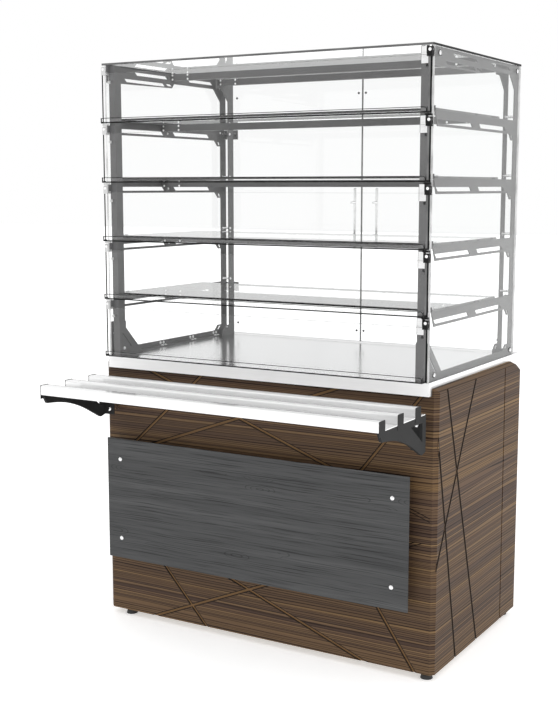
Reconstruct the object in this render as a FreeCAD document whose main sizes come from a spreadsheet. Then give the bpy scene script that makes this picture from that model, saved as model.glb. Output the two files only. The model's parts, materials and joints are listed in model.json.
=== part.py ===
"""Ambient display case: wood-clad counter, tray slide and five-tier glass superstructure.

X runs along the counter, Y from the customer side to the operator side, Z up.
The origin lies on the floor under the middle of the bounding box. Lengths are in millimetres.
"""
import FreeCAD, Part
import math
import os
import Sketcher
from types import SimpleNamespace

# Driving dimensions, in millimetres
DIMENSIONS = {
    # Counter
    "worktop_height": 850, "worktop_depth": 720, "worktop_side_gap": 4, "worktop_skirt": 38,
    "worktop_sheet": 1.5, "worktop_overhang": 12, "worktop_rear_overhang": 49, "core_board": 18,
    "bay_width": 1100, "board": 18, "side_drop": 16, "edge_bevel": 12, "skirt_clearance": 0.5,
    "corner_cut_depth": 60, "corner_cut_height": 33, "groove_width": 7, "groove_depth": 2.5,
    "foot_height": 20, "foot_pad_diameter": 36, "foot_pad_height": 11, "foot_stud_diameter": 12,
    "foot_inset": 30, "foot_shift": 16, "base_shelf_height": 430, "base_shelf_setback": 40, "rail_height": 80,
    # Decorative overlay on the front panel
    "overlay_side_inset": 30, "overlay_drop": 258, "overlay_bottom": 207, "overlay_sheet": 4,
    "overlay_shift": 14, "standoff_length": 38, "standoff_diameter": 14, "standoff_dome": 3,
    "standoff_inset_side": 50, "standoff_inset_end": 65,
    # Tray slide
    "tray_end_inset": 18, "tray_reach": 328, "tray_drop": 53, "tray_sheet": 2, "rib_width": 34,
    "rib_height": 28, "rib_round": 5, "tray_rear_lip": 30, "tray_rear_gap": 44,
    "bracket_thickness": 8, "bracket_nose": 27, "bracket_nose_rake": 16, "belly_front_run": 113,
    "belly_rear_run": 133.4, "bracket_belly_drop": 36, "bracket_heel_front": 25, "bracket_heel_drop": 108,
    "bracket_tail_drop": 102, "bracket_foot_width": 43, "bracket_foot_sheet": 3,
    "window_rear": 22, "window_width": 75, "window_height": 53, "window_drop": 19,
    "belly_round": 420, "bracket_round": 6, "prong_clearance": 0.3,
    "bracket_bolt_drop": 30, "bracket_bolt_pitch": 55,
    # Superstructure frame
    "cabinet_height": 895, "tier_foot": 3.5, "glass": 6, "plate": 3, "frame_side_inset": 8,
    "frame_setback": 4, "frame_rear_setback": 54, "drawn_depth": 662,
    "upright_inset": 7.5, "upright_width": 21.5, "upright_flange": 28, "front_leg": 11, "rear_leg": 33,
    "post_gap": 29, "post_arm": 72, "bottom_rail": 18, "top_rail": 50, "top_rail_step": 44,
    "top_rail_rear": 30, "top_step": 352, "front_gusset": 88, "top_gusset": 42,
    "gusset_slot_back": 40, "gusset_slot_width": 8, "gusset_slot_foot": 24, "gusset_slot_rise": 46,
    "gusset_plate_height": 107, "rear_gusset_run": 44, "rear_gusset_rake": 19, "rear_gusset_rise": 18,
    "foot_hole_width": 12, "foot_hole_height": 11, "foot_hole_inset": 18, "foot_hole_low": 2,
    "rail_slot_height": 9.5, "rail_slot_side": 8.5, "rail_slot_front": 98, "rail_slot_length": 205,
    "upper_slot_front": 152, "upper_slot_length": 166, "rear_slot_front": 442, "rear_slot_length": 140,
    "small_slot_gap": 14, "small_slot_length": 26, "small_slot_height": 6,
    "arm_rise": 14.5, "arm_drop": 27, "arm_nose": 23, "arm_rake": 18, "arm_bar": 7, "slot_height": 12,
    "arm_slot_front": 13, "arm_slot_length": 243, "bridge_width": 62, "rear_arm_slot_length": 206,
    "slot_rake": 12, "arm_gusset_run": 38, "arm_gusset_drop": 19, "gusset_hole": 10,
    "angle_leg": 20, "rest_width": 20, "rest_drop": 14, "rest_sheet": 2,
    "beam_height": 21, "beam_depth": 20, "beam_sheet": 2, "mid_beam_back": 278,
    "top_beam_back": 335, "rear_beam_back": 573,
    "lap_length": 75, "lap_sheet": 2,
    "spacer_diameter": 8, "spacer_inset": 8, "spacer_drop": 4, "spacer_end": 15,
    # Glazing
    "glass_overhang": 1, "top_glass_front": 12,
    "shelf_front": 32, "shelf_depth": 476, "shelf_end_gap": 2, "clip_thickness": 3, "clip_height": 14,
    "bolt_inset": 32, "bolt_height": 17, "bolt_head": 16, "bolt_head_height": 4,
    # Customer flaps
    "acrylic": 5, "flap_gap": 7, "flap_hang": 24.5, "flap_rise": 4.5,
    "lip_reach": 14, "lip_lean": 5, "lip_height": 16, "lip_inset": 8, "lip_round": 10, "bend_round": 4,
    "pivot_drop": 12, "pivot_pin": 5, "pivot_clearance": 0.3, "pivot_crown": 3.5,
    "pivot_block_width": 15, "pivot_block_depth": 16, "pivot_block_length": 29,
    "pivot_side_gap": 1, "hinge_sheet": 3, "hinge_width": 21.5, "hinge_top_gap": 1,
    "hinge_length": 44.5, "ear_reach": 12, "ear_length": 20,
    "stop_width": 6, "stop_height": 8, "stop_gap_above": 1, "stop_gap": 0.3,
    # Operator doors
    "door_gap": 6, "door_middle_gap": 3, "door_end_gap": 4, "door_edge_gap": 7.5,
    "hinge_drop": 5, "knuckle_diameter": 10, "knuckle_length": 16, "knuckle_gap": 0.3,
    "hinge_pin": 5, "leaf_sheet": 3, "leaf_length": 40, "lug": 3, "knuckle_offset": 4, "clamp_length": 36,
    "handle_length": 205, "handle_drop": 20, "handle_diameter": 10, "handle_reach": 28, "handle_spread": 82,
    "handle_post_pitch": 108, "handle_post_diameter": 8,
}
TIERS = 5
RIBS = 3

doc = FreeCAD.newDocument("ambient_display_case")
sheet = doc.addObject("Spreadsheet::Sheet", "dims")


class Size:
    """A length with its present value and the sheet formula that drives it."""

    def __init__(self, value, formula):
        self.value = value
        self.formula = formula

    def __add__(self, other):
        other = as_size(other)
        return Size(self.value + other.value, f"({self.formula} + {other.formula})")

    def __sub__(self, other):
        other = as_size(other)
        return Size(self.value - other.value, f"({self.formula} - {other.formula})")

    def __mul__(self, other):
        other = as_size(other)
        return Size(self.value * other.value, f"({self.formula} * {other.formula})")

    def __truediv__(self, other):
        other = as_size(other)
        return Size(self.value / other.value, f"({self.formula} / {other.formula})")

    def __radd__(self, other):
        return as_size(other) + self

    def __rsub__(self, other):
        return as_size(other) - self

    def __rmul__(self, other):
        return as_size(other) * self

    def __neg__(self):
        return Size(-self.value, f"(0 - {self.formula})")


def as_size(number):
    """Wrap a plain number so that it can stand in a formula."""
    if isinstance(number, Size):
        return number
    return Size(float(number), f"({float(number)})")


def length_of(across, along):
    """Return the length of a slanting line as a Size."""
    return Size(math.hypot(across.value, along.value), f"hypot({across.formula}; {along.formula})")


def fill_sheet():
    """Write every driving dimension to the sheet and return them as named Sizes."""
    sizes = {}
    for row, (name, value) in enumerate(DIMENSIONS.items(), start=1):
        sheet.set(f"A{row}", name)
        sheet.set(f"B{row}", str(value))
        sheet.setAlias(f"B{row}", name)
        sizes[name] = Size(float(value), f"dims.{name}")
    doc.recompute()
    return SimpleNamespace(**sizes)


d = fill_sheet()
nodes = []


def bind(thing, prop, size):
    """Tie one property of a document object to its sheet formula."""
    thing.setExpression(prop, as_size(size).formula)


def keep(thing, name):
    """Label a finished sub-part and list it for writing."""
    thing.Label = name
    nodes.append(thing)
    return thing


def box(name, x, y, z):
    """Make a block between two limits on each axis."""
    block = doc.addObject("Part::Box", name)
    for prop, axis, (low, high) in (("Length", "x", x), ("Width", "y", y), ("Height", "z", z)):
        bind(block, prop, as_size(high) - low)
        bind(block, f"Placement.Base.{axis}", low)
    return block


def lay_bar(bar, axis, low, high, first, second):
    """Turn a bar along one axis and place it on the other two, in order."""
    turns = {
        "x": FreeCAD.Rotation(FreeCAD.Vector(0, 1, 0), 90),
        "y": FreeCAD.Rotation(FreeCAD.Vector(1, 0, 0), -90),
        "z": FreeCAD.Rotation(),
    }
    bar.Placement = FreeCAD.Placement(FreeCAD.Vector(), turns[axis])
    bind(bar, "Height", as_size(high) - low)
    others = [letter for letter in "xyz" if letter != axis]
    for letter, place in ((axis, low), (others[0], first), (others[1], second)):
        bind(bar, f"Placement.Base.{letter}", place)


def rod(name, axis, diameter, low, high, first, second):
    """Make a round bar along one axis."""
    bar = doc.addObject("Part::Cylinder", name)
    bind(bar, "Radius", as_size(diameter) / 2)
    lay_bar(bar, axis, low, high, first, second)
    return bar


def hexagon(name, axis, across, low, high, first, second):
    """Make a six-sided bar along one axis, measured across its corners."""
    bar = doc.addObject("Part::Prism", name)
    bar.Polygon = 6
    bind(bar, "Circumradius", as_size(across) / 2)
    lay_bar(bar, axis, low, high, first, second)
    return bar


def joined(name, pieces):
    """Weld several solids into one."""
    weld = doc.addObject("Part::MultiFuse", name)
    weld.Shapes = pieces
    return weld


def cut(name, base, tool):
    """Take a tool solid out of a base solid."""
    result = doc.addObject("Part::Cut", name)
    result.Base = base
    result.Tool = tool
    return result


def group(name, pieces):
    """Gather separate solids of one kind in one node."""
    gathered = doc.addObject("Part::Compound", name)
    gathered.Links = pieces
    return keep(gathered, name)


def new_body(name):
    """Start a body for one sub-part."""
    return doc.addObject("PartDesign::Body", name)


def new_sketch(body, name, plane, offset):
    """Attach a sketch to one of the body's own planes, moved along the plane's normal."""
    sketch = body.newObject("Sketcher::SketchObject", name)
    support = next(item for item in body.Origin.OriginFeatures if item.Role == plane)
    sketch.AttachmentSupport = [(support, "")]
    sketch.MapMode = "FlatFace"
    bind(sketch, "AttachmentOffset.Base.z", offset)
    return sketch


def place_point(sketch, index, point):
    """Fix the first end of a sketch line at two driven coordinates."""
    for kind, size in zip(("DistanceX", "DistanceY"), point):
        number = sketch.addConstraint(Sketcher.Constraint(kind, index, 1, as_size(size).value))
        sketch.setExpression(f"Constraints[{number}]", as_size(size).formula)


def draw_loop(sketch, points):
    """Draw a closed outline of straight lines through driven points."""
    first = sketch.GeometryCount
    places = [FreeCAD.Vector(as_size(u).value, as_size(v).value, 0) for u, v in points]
    count = len(points)
    lines = [Part.LineSegment(places[i], places[(i + 1) % count]) for i in range(count)]
    sketch.addGeometry(lines, False)
    for i in range(count):
        after = first + (i + 1) % count
        sketch.addConstraint(Sketcher.Constraint("Coincident", first + i, 2, after, 1))
    for i, point in enumerate(points):
        place_point(sketch, first + i, point)


def draw_circle(sketch, centre, diameter):
    """Draw a circle with driven centre and diameter."""
    u, v = as_size(centre[0]), as_size(centre[1])
    circle = Part.Circle(FreeCAD.Vector(u.value, v.value, 0), FreeCAD.Vector(0, 0, 1), diameter.value / 2)
    index = sketch.addGeometry(circle, False)
    for kind, size in (("DistanceX", u), ("DistanceY", v)):
        number = sketch.addConstraint(Sketcher.Constraint(kind, index, 3, size.value))
        sketch.setExpression(f"Constraints[{number}]", size.formula)
    number = sketch.addConstraint(Sketcher.Constraint("Diameter", index, diameter.value))
    sketch.setExpression(f"Constraints[{number}]", diameter.formula)


def pad(body, sketch, name, thickness, reverse=False):
    """Grow a sketch into a solid."""
    feature = body.newObject("PartDesign::Pad", name)
    feature.Profile = sketch
    feature.Reversed = reverse
    bind(feature, "Length", thickness)
    return feature


def pocket(body, sketch, name, depth, reverse=False):
    """Cut a sketch into a solid."""
    feature = body.newObject("PartDesign::Pocket", name)
    feature.Profile = sketch
    feature.Reversed = reverse
    bind(feature, "Length", depth)
    return feature


def prism(name, plane, offset, thickness, loops, circles=()):
    """Make a body by padding closed outlines; later outlines and circles are holes."""
    body = new_body(name)
    sketch = new_sketch(body, f"{name}_outline", plane, offset)
    for points in loops:
        draw_loop(sketch, points)
    for centre, diameter in circles:
        draw_circle(sketch, centre, diameter)
    pad(body, sketch, f"{name}_pad", thickness)
    return body


def edges_where(shape, test):
    """Name the straight edges whose two ends pass a test."""
    found = []
    for number, edge in enumerate(shape.Edges, start=1):
        if len(edge.Vertexes) == 2 and test(edge.Vertexes[0].Point, edge.Vertexes[1].Point):
            found.append(f"Edge{number}")
    return found


def dress(body, kind, name, prop, size, test):
    """Add a fillet or chamfer on the edges of the body's tip that pass a test."""
    doc.recompute()
    base = body.Tip
    feature = body.newObject(f"PartDesign::{kind}", name)
    feature.Base = (base, edges_where(base.Shape, test))
    bind(feature, prop, size)
    return feature


def near(value, size):
    """Tell whether a coordinate lies on a driven place."""
    return abs(value - as_size(size).value) < 0.01


def sided(side, inner, outer):
    """Return X limits on the left (-1) or right (1) of the middle, in rising order."""
    if side > 0:
        return (inner, outer)
    return (-as_size(outer), -as_size(inner))


SIDES = (("left", -1), ("right", 1))

# Places worked out from the driving dimensions
front = (d.tray_reach - d.worktop_depth + d.worktop_overhang) / 2
worktop_front = front - d.worktop_overhang
worktop_rear = worktop_front + d.worktop_depth
half_bay = d.bay_width / 2
half_outside = half_bay + d.board
half_worktop = half_bay - d.worktop_side_gap
half_tray = half_outside - d.tray_end_inset
bay_rear = worktop_rear - d.worktop_rear_overhang
tray_front = front - d.tray_reach
tray_top = d.worktop_height - d.tray_drop
rib_pitch = (d.tray_reach - d.rib_width - d.tray_rear_lip - d.tray_rear_gap) / (RIBS - 1)
overlay_top = d.worktop_height - d.overlay_drop
skirt_bottom = d.worktop_height - d.worktop_skirt
core_bottom = d.worktop_height - d.worktop_sheet - d.core_board
frame_front = worktop_front + d.frame_setback
frame_rear = worktop_rear - d.frame_rear_setback
half_frame = half_worktop - d.frame_side_inset
half_glazing = half_frame + d.glass + d.glass_overhang
plate_inner = half_frame - d.plate
plate_front = frame_front + d.plate
leg_front = frame_rear - d.rear_leg
post_outer = plate_inner - d.post_gap
post_inner = post_outer - d.plate
top = d.worktop_height + d.cabinet_height
glass_under = top - d.glass
tier_height = (glass_under - d.worktop_height + d.tier_foot) / TIERS
flap_back = frame_front - d.flap_gap
flap_front = flap_back - d.acrylic
pivot_y = flap_back - d.acrylic / 2
hinge_outer = plate_inner - d.upright_inset
pivot_inner = hinge_outer + d.pivot_side_gap
pivot_outer = pivot_inner + d.pivot_block_width
door_front = frame_rear + d.door_gap
door_rear = door_front + d.glass


def level(tier):
    """Height of the hinge line under a tier; tier 0 is the underside of the top glass."""
    return glass_under - tier * tier_height


def along(run):
    """Stretch a run of the side frames, drawn for one depth, to the depth at hand."""
    return run * (frame_rear - frame_front) / d.drawn_depth


def groove(body, name, plane, face, start, end, reverse=False):
    """Rout one straight decorative groove into a panel face."""
    sketch = new_sketch(body, f"{name}_outline", plane, face)
    across = as_size(end[0]) - start[0]
    along = as_size(end[1]) - start[1]
    half = d.groove_width / 2 / length_of(across, along)
    shift_u = along * half
    shift_v = across * half
    draw_loop(sketch, [
        (start[0] + shift_u, start[1] - shift_v),
        (end[0] + shift_u, end[1] - shift_v),
        (end[0] - shift_u, end[1] + shift_v),
        (start[0] - shift_u, start[1] + shift_v),
    ])
    pocket(body, sketch, name, d.groove_depth, reverse)


def make_side_panels():
    """Wood-clad end panels with bevelled outer edges, a cut rear corner and routed grooves."""
    panel_top = d.worktop_height - d.side_drop
    outline = [
        (front, d.foot_height), (bay_rear, d.foot_height), (bay_rear, panel_top - d.corner_cut_height),
        (bay_rear - d.corner_cut_depth, panel_top), (front, panel_top),
    ]
    # Groove ends, as shares of the depth from the front face and of the height from the floor
    grooves = [
        ((0.088, 0.995), (0.504, 0)), ((0.44, 0.995), (-0.03, 0.324)),
        ((0.021, 0.776), (0.252, 0)), ((0.792, 0.995), (0.804, 0)),
    ]
    depth = bay_rear - front
    for name, side in SIDES:
        low, high = sided(side, half_bay, half_outside)
        panel = prism(f"side_panel_{name}", "YZ_Plane", low, d.board, [outline])
        face = high if side > 0 else low

        def on_bevel(a, b, face=face):
            at_face = near(a.x, face) and near(b.x, face)
            at_front = near(a.y, front) and near(b.y, front)
            at_top = near(a.z, panel_top) and near(b.z, panel_top)
            return at_face and (at_front or at_top)

        dress(panel, "Chamfer", f"side_bevel_{name}", "Size", d.edge_bevel, on_bevel)
        for number, ends in enumerate(grooves, start=1):
            start, end = [(front + depth * y, d.worktop_height * z) for y, z in ends]
            groove(panel, f"side_groove_{name}_{number}", "YZ_Plane", face, start, end, side < 0)
        keep(panel, f"side_panel_{name}")


def board_outline(bottom):
    """Upright board across the bay, notched at its upper corners for the ends of the worktop skirt."""
    notch = half_worktop - d.worktop_sheet - d.skirt_clearance
    right = [(half_bay, bottom), (half_bay, skirt_bottom), (notch, skirt_bottom), (notch, core_bottom)]
    return right + [(-x, z) for x, z in right[::-1]]


def make_front_panel():
    """Wood-clad front board with routed grooves above and below the overlay."""
    outline = board_outline(d.foot_height)
    panel = prism("front_panel", "XZ_Plane", -(front + d.board), d.board, [outline])
    behind = 3 * d.groove_width
    # Groove ends at the panel's top edge and behind the overlay's top edge, as shares of the half width
    upper = [(-0.909, 0.476), (-0.291, -0.845), (0.673, -0.745), (1, 0.6)]
    # Groove ends behind the overlay's bottom edge and at the panel's bottom edge, in the same shares
    lower = [(-0.691, -0.318), (-0.364, 0.727), (0.2, -0.782), (0.669, 0.951)]
    for number, (start, end) in enumerate(upper, start=1):
        groove(panel, f"upper_groove_{number}", "XZ_Plane", -front,
               (half_bay * start, core_bottom + d.board), (half_bay * end, overlay_top - behind))
    for number, (start, end) in enumerate(lower, start=1):
        groove(panel, f"lower_groove_{number}", "XZ_Plane", -front,
               (half_bay * start, d.overlay_bottom + behind), (half_bay * end, d.foot_height - d.board))
    keep(panel, "front_panel")


def make_overlay():
    """Thin decorative panel carried in front of the front panel on four domed standoffs."""
    back = front - d.standoff_length
    face = back - d.overlay_sheet
    half = half_bay - d.overlay_side_inset
    left = -half - d.overlay_shift
    right = half - d.overlay_shift
    outline = [(left, d.overlay_bottom), (right, d.overlay_bottom), (right, overlay_top), (left, overlay_top)]
    keep(prism("overlay_panel", "XZ_Plane", -back, d.overlay_sheet, [outline]), "overlay_panel")
    studs, heads = [], []
    rows = (("low", d.overlay_bottom + d.standoff_inset_end), ("high", overlay_top - d.standoff_inset_end))
    head_y = (face - d.standoff_dome, face)
    for x_name, x in (("left", left + d.standoff_inset_side), ("right", right - d.standoff_inset_side)):
        for z_name, z in rows:
            key = f"{x_name}_{z_name}"
            studs.append(hexagon(f"standoff_stud_{key}", "y", d.standoff_diameter, back, front, x, z))
            heads.append(rod(f"standoff_head_{key}", "y", d.standoff_diameter, *head_y, x, z))
    return studs, heads


def make_carcass():
    """Floor, shelf and rear rail between the end panels, open on the operator side."""
    span = (-half_bay, half_bay)
    inside = front + d.board
    keep(box("base_floor", span, (inside, bay_rear), (d.foot_height, d.foot_height + d.board)), "base_floor")
    shelf_y = (inside, bay_rear - d.base_shelf_setback)
    keep(box("base_shelf", span, shelf_y, (d.base_shelf_height, d.base_shelf_height + d.board)), "base_shelf")
    outline = board_outline(core_bottom - d.rail_height)
    rail = prism("rear_rail", "XZ_Plane", -bay_rear, d.board, [outline])
    keep(rail, "rear_rail")


def make_feet():
    """Four levelling feet: turned pads on threaded studs."""
    pads, studs = [], []
    for x_name, side in SIDES:
        for y_name, y in (("front", front + d.foot_inset), ("rear", bay_rear - d.foot_inset)):
            x = side * (half_bay - d.foot_inset) + d.foot_shift
            key = f"{x_name}_{y_name}"
            cone = doc.addObject("Part::Cone", f"foot_pad_{key}")
            bind(cone, "Radius1", d.foot_pad_diameter / 2)
            bind(cone, "Radius2", d.foot_pad_diameter / 2 - d.foot_pad_height / 4)
            bind(cone, "Height", d.foot_pad_height)
            bind(cone, "Placement.Base.x", x)
            bind(cone, "Placement.Base.y", y)
            pads.append(cone)
            stud_z = (d.foot_pad_height, d.foot_height)
            studs.append(hexagon(f"foot_stud_{key}", "z", d.foot_stud_diameter, *stud_z, x, y))
    group("foot_pads", pads)
    group("foot_studs", studs)


def make_worktop():
    """Steel pan with a folded skirt on all four sides over a board core."""
    inner = half_worktop - d.worktop_sheet
    pan_y = (worktop_front, worktop_rear)
    pan = box("worktop_blank", (-half_worktop, half_worktop), pan_y, (skirt_bottom, d.worktop_height))
    hollow_y = (worktop_front + d.worktop_sheet, worktop_rear - d.worktop_sheet)
    sheet_under = d.worktop_height - d.worktop_sheet
    hollow = box("worktop_hollow", (-inner, inner), hollow_y, (skirt_bottom, sheet_under))
    keep(cut("worktop", pan, hollow), "worktop")
    core_z = (core_bottom, sheet_under)
    keep(box("worktop_core", (-inner, inner), hollow_y, core_z), "worktop_core")


def make_tray_slide():
    """Folded steel tray slide with three raised ribs."""
    flat_top = tray_top - d.rib_height + d.tray_sheet
    flat_under = tray_top - d.rib_height
    upper, lower = [], []
    for rib in range(RIBS):
        start = tray_front + rib * rib_pitch
        end = start + d.rib_width
        if rib == 0:
            upper.append((start, flat_under))
            lower.append((start + d.tray_sheet, flat_under))
        else:
            upper.append((start, flat_top))
            lower.append((start + d.tray_sheet, flat_under))
        upper += [(start, tray_top), (end, tray_top), (end, flat_top)]
        ceiling = tray_top - d.tray_sheet
        inner_end = end - d.tray_sheet
        lower += [(start + d.tray_sheet, ceiling), (inner_end, ceiling), (inner_end, flat_under)]
    rear = tray_front + (RIBS - 1) * rib_pitch + d.rib_width + d.tray_rear_lip
    outline = upper + [(rear, flat_top), (rear, flat_under)] + lower[::-1]
    slide = prism("tray_slide", "YZ_Plane", -half_tray, 2 * half_tray, [outline])

    def on_crest(a, b):
        along = abs(a.x - b.x) > 1
        return along and near(a.z, tray_top) and near(b.z, tray_top)

    dress(slide, "Fillet", "tray_rib_round", "Radius", d.rib_round, on_crest)
    keep(slide, "tray_slide")


def make_tray_brackets():
    """Cast end brackets with a curved belly, a triangular window and prongs that fill the rib ends."""
    seat = tray_top - d.rib_height
    rear = front - d.standoff_length
    nose = tray_front + d.tray_sheet + d.prong_clearance
    prong_top = tray_top - d.tray_sheet - d.prong_clearance
    margin = d.tray_sheet + d.prong_clearance
    heel_y = rear - d.bracket_heel_front
    tip_y = nose + d.bracket_nose_rake
    drawn_run = d.belly_front_run + d.belly_rear_run
    stretch = (heel_y - tip_y) / drawn_run
    belly_y = tip_y + d.belly_front_run * stretch
    outline = []
    for rib in range(RIBS):
        start = tray_front + rib * rib_pitch + margin
        end = tray_front + rib * rib_pitch + d.rib_width - margin
        outline += [(start, seat), (start, prong_top), (end, prong_top), (end, seat)]
    outline += [
        (rear, seat), (rear, seat - d.bracket_tail_drop),
        (heel_y, seat - d.bracket_heel_drop), (belly_y, seat - d.bracket_belly_drop),
        (tip_y, seat - d.bracket_nose),
    ]
    window_front = rear - d.window_rear - d.window_width
    window = [
        (window_front, seat - d.window_drop), (rear - d.window_rear, seat - d.window_drop),
        (rear - d.window_rear, seat - d.window_drop - d.window_height),
    ]

    def at_belly(a, b):
        return near(a.y, belly_y) and near(b.y, belly_y)

    def at_tip(a, b):
        at_heel = near(a.y, heel_y) and near(b.y, heel_y)
        return at_heel or (near(a.y, tip_y) and near(b.y, tip_y))

    bolts, spacers = [], []
    outer = half_tray
    for name, side in SIDES:
        web_x = sided(side, outer - d.bracket_thickness, outer)
        web = prism(f"bracket_web_{name}", "YZ_Plane", web_x[0], d.bracket_thickness, [outline, window])
        dress(web, "Fillet", f"bracket_belly_{name}", "Radius", d.belly_round * stretch, at_belly)
        dress(web, "Fillet", f"bracket_tips_{name}", "Radius", d.bracket_round, at_tip)
        foot_x = sided(side, outer - d.bracket_foot_width, outer - d.bracket_thickness)
        foot_z = (seat - d.bracket_tail_drop, seat)
        foot = box(f"bracket_foot_{name}", foot_x, (rear - d.bracket_foot_sheet, rear), foot_z)
        keep(joined(f"tray_bracket_{name}", [web, foot]), f"tray_bracket_{name}")
        x = side * (outer - d.bracket_foot_width / 2 - d.bracket_thickness / 2)
        for number in range(2):
            z = seat - d.bracket_bolt_drop - number * d.bracket_bolt_pitch
            foot_face = rear - d.bracket_foot_sheet
            head_y = (foot_face - d.standoff_dome, foot_face)
            key = f"{name}_{number + 1}"
            spacers.append(hexagon(f"bracket_spacer_{key}", "y", d.standoff_diameter, rear, front, x, z))
            bolts.append(rod(f"bracket_bolt_{key}", "y", d.standoff_diameter, *head_y, x, z))
    return spacers, bolts


def foot_gusset(floor):
    """Edge of the gusset at the foot of a rear leg, from its toe up to the leg."""
    crest = floor + d.rear_gusset_rise
    toe = leg_front - d.rear_gusset_run
    return [(toe, floor), (toe + d.rear_gusset_rake, crest), (leg_front, crest)]


def foot_hole():
    """Slanted hole in the gusset at the foot of a rear leg."""
    low = d.worktop_height + d.bottom_rail + d.foot_hole_low
    high = low + d.foot_hole_height
    end = leg_front - d.foot_hole_inset
    return [
        (end - d.foot_hole_width, low), (end, low),
        (end + d.foot_hole_width, high), (end, high),
    ]


def gusset_slot():
    """Slot that runs along the slanted edge of a front gusset."""
    low = d.worktop_height + d.gusset_slot_foot
    high = low + d.gusset_slot_rise
    slant = frame_front + d.front_leg + d.front_gusset + d.worktop_height + d.bottom_rail
    near_edge = slant - d.gusset_slot_back + d.gusset_slot_width
    far_edge = slant - d.gusset_slot_back
    return [(far_edge - low, low), (near_edge - low, low), (near_edge - high, high), (far_edge - high, high)]


def side_outline():
    """Full rectangle of one side of the cabinet, from the worktop to the top glass."""
    return [
        (frame_front, d.worktop_height), (frame_rear, d.worktop_height),
        (frame_rear, glass_under), (frame_front, glass_under),
    ]


def frame_outline():
    """Edge of a side frame: bottom rail, rear leg and top rail, open towards the customer."""
    inside_front = frame_front + d.front_leg
    floor = d.worktop_height + d.bottom_rail
    ceiling = glass_under - d.top_rail
    step = frame_front + along(d.top_step)
    rear_ceiling = glass_under - d.top_rail_rear
    inside = [
        (frame_front, floor + d.front_gusset), (inside_front, floor + d.front_gusset),
        (inside_front + d.front_gusset, floor), *foot_gusset(floor),
        (leg_front, rear_ceiling - d.top_gusset),
        (leg_front - d.top_gusset, rear_ceiling), (step, rear_ceiling),
        (step - d.slot_rake, glass_under - d.top_rail_step), (frame_front, ceiling),
    ]
    return side_outline() + inside[::-1]


def rail_slots():
    """Lightening slots in the top rail of a side frame."""
    low = glass_under - d.top_rail + d.rail_slot_side
    slots = []
    lower_front = frame_front + along(d.rail_slot_front)
    small_front = lower_front + along(d.rail_slot_length + d.small_slot_gap)
    upper_front = frame_front + along(d.upper_slot_front)
    rear_front = frame_front + along(d.rear_slot_front)
    high = glass_under - d.rail_slot_side - d.rail_slot_height
    runs = (
        (lower_front, d.rail_slot_length, low, d.rail_slot_height),
        (small_front, d.small_slot_length, low + d.small_slot_height / 2, d.small_slot_height),
        (upper_front, d.upper_slot_length, high, d.rail_slot_height),
        (rear_front, d.rear_slot_length, high, d.rail_slot_height),
    )
    for start, run, bottom, height in runs:
        end = start + along(run)
        slots.append([
            (start, bottom), (end, bottom),
            (end - d.slot_rake, bottom + height), (start - d.slot_rake, bottom + height),
        ])
    return slots


def arm_outline():
    """Cantilever shelf arm of the lowest shelf: outer edge, two slots and the gusset hole."""
    line = level(TIERS - 1)
    high = line + d.arm_rise
    low = line - d.arm_drop
    nose = frame_front + d.arm_nose
    root = leg_front + d.rear_leg / 2
    gusset_low = low - d.arm_gusset_drop
    gusset_front = leg_front - d.arm_gusset_run
    outer = [
        (nose, high), (root, high), (root, gusset_low), (gusset_front + d.arm_gusset_drop, gusset_low),
        (gusset_front, low), (nose + d.arm_rake, low),
    ]
    slot_low = low + d.arm_bar
    slot_high = slot_low + d.slot_height
    first = nose + d.arm_slot_front
    first_end = first + along(d.arm_slot_length)
    second = first_end + along(d.bridge_width)
    front_slot = [
        (first + d.slot_rake, slot_low), (first_end + d.slot_rake, slot_low),
        (first_end, slot_high), (first, slot_high),
    ]
    end = second + along(d.rear_arm_slot_length)
    rear_slot = [
        (second + d.slot_rake, slot_low), (end + d.slot_rake, slot_low),
        (end, slot_high), (second, slot_high),
    ]
    hole_high = low - d.arm_gusset_drop / 4
    hole_low = hole_high - d.gusset_hole
    hole_front = gusset_front + d.arm_gusset_drop
    hole = [
        (hole_front + d.gusset_hole / 2, hole_low), (hole_front + 3 * d.gusset_hole / 2, hole_low),
        (hole_front + d.gusset_hole, hole_high), (hole_front, hole_high),
    ]
    return outer, front_slot, rear_slot, hole


def make_side_frames():
    """Laser-cut side frames: slotted rails and four cantilever arms repeated up the rear leg."""
    for name, side in SIDES:
        low = sided(side, plate_inner, half_frame)[0]
        body = new_body(f"side_frame_{name}")
        rails = new_sketch(body, f"frame_rails_{name}", "YZ_Plane", low)
        for points in (frame_outline(), *rail_slots(), gusset_slot(), foot_hole()):
            draw_loop(rails, points)
        pad(body, rails, f"frame_rails_pad_{name}", d.plate)
        arm = new_sketch(body, f"frame_arm_{name}", "YZ_Plane", low)
        for points in arm_outline():
            draw_loop(arm, points)
        arm_pad = pad(body, arm, f"frame_arm_pad_{name}", d.plate)
        doc.recompute()
        rows = body.newObject("PartDesign::LinearPattern", f"frame_arms_{name}")
        rows.Originals = [arm_pad]
        rows.Direction = (arm, ["V_Axis"])
        rows.Occurrences = TIERS - 1
        bind(rows, "Length", (TIERS - 2) * tier_height)
        body.Tip = rows
        keep(body, f"side_frame_{name}")


def make_uprights():
    """Folded front uprights: a face plate and an inner flange."""
    inner = hinge_outer - d.upright_width
    for name, side in SIDES:
        flange_rear = plate_front + d.upright_flange
        outline = [
            (inner, frame_front), (hinge_outer, frame_front), (hinge_outer, plate_front),
            (inner + d.plate, plate_front), (inner + d.plate, flange_rear), (inner, flange_rear),
        ]
        if side < 0:
            outline = [(-as_size(x), y) for x, y in outline]
        length = glass_under - d.worktop_height
        upright = prism(f"front_upright_{name}", "XY_Plane", d.worktop_height, length, [outline])
        keep(upright, f"front_upright_{name}")


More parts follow.
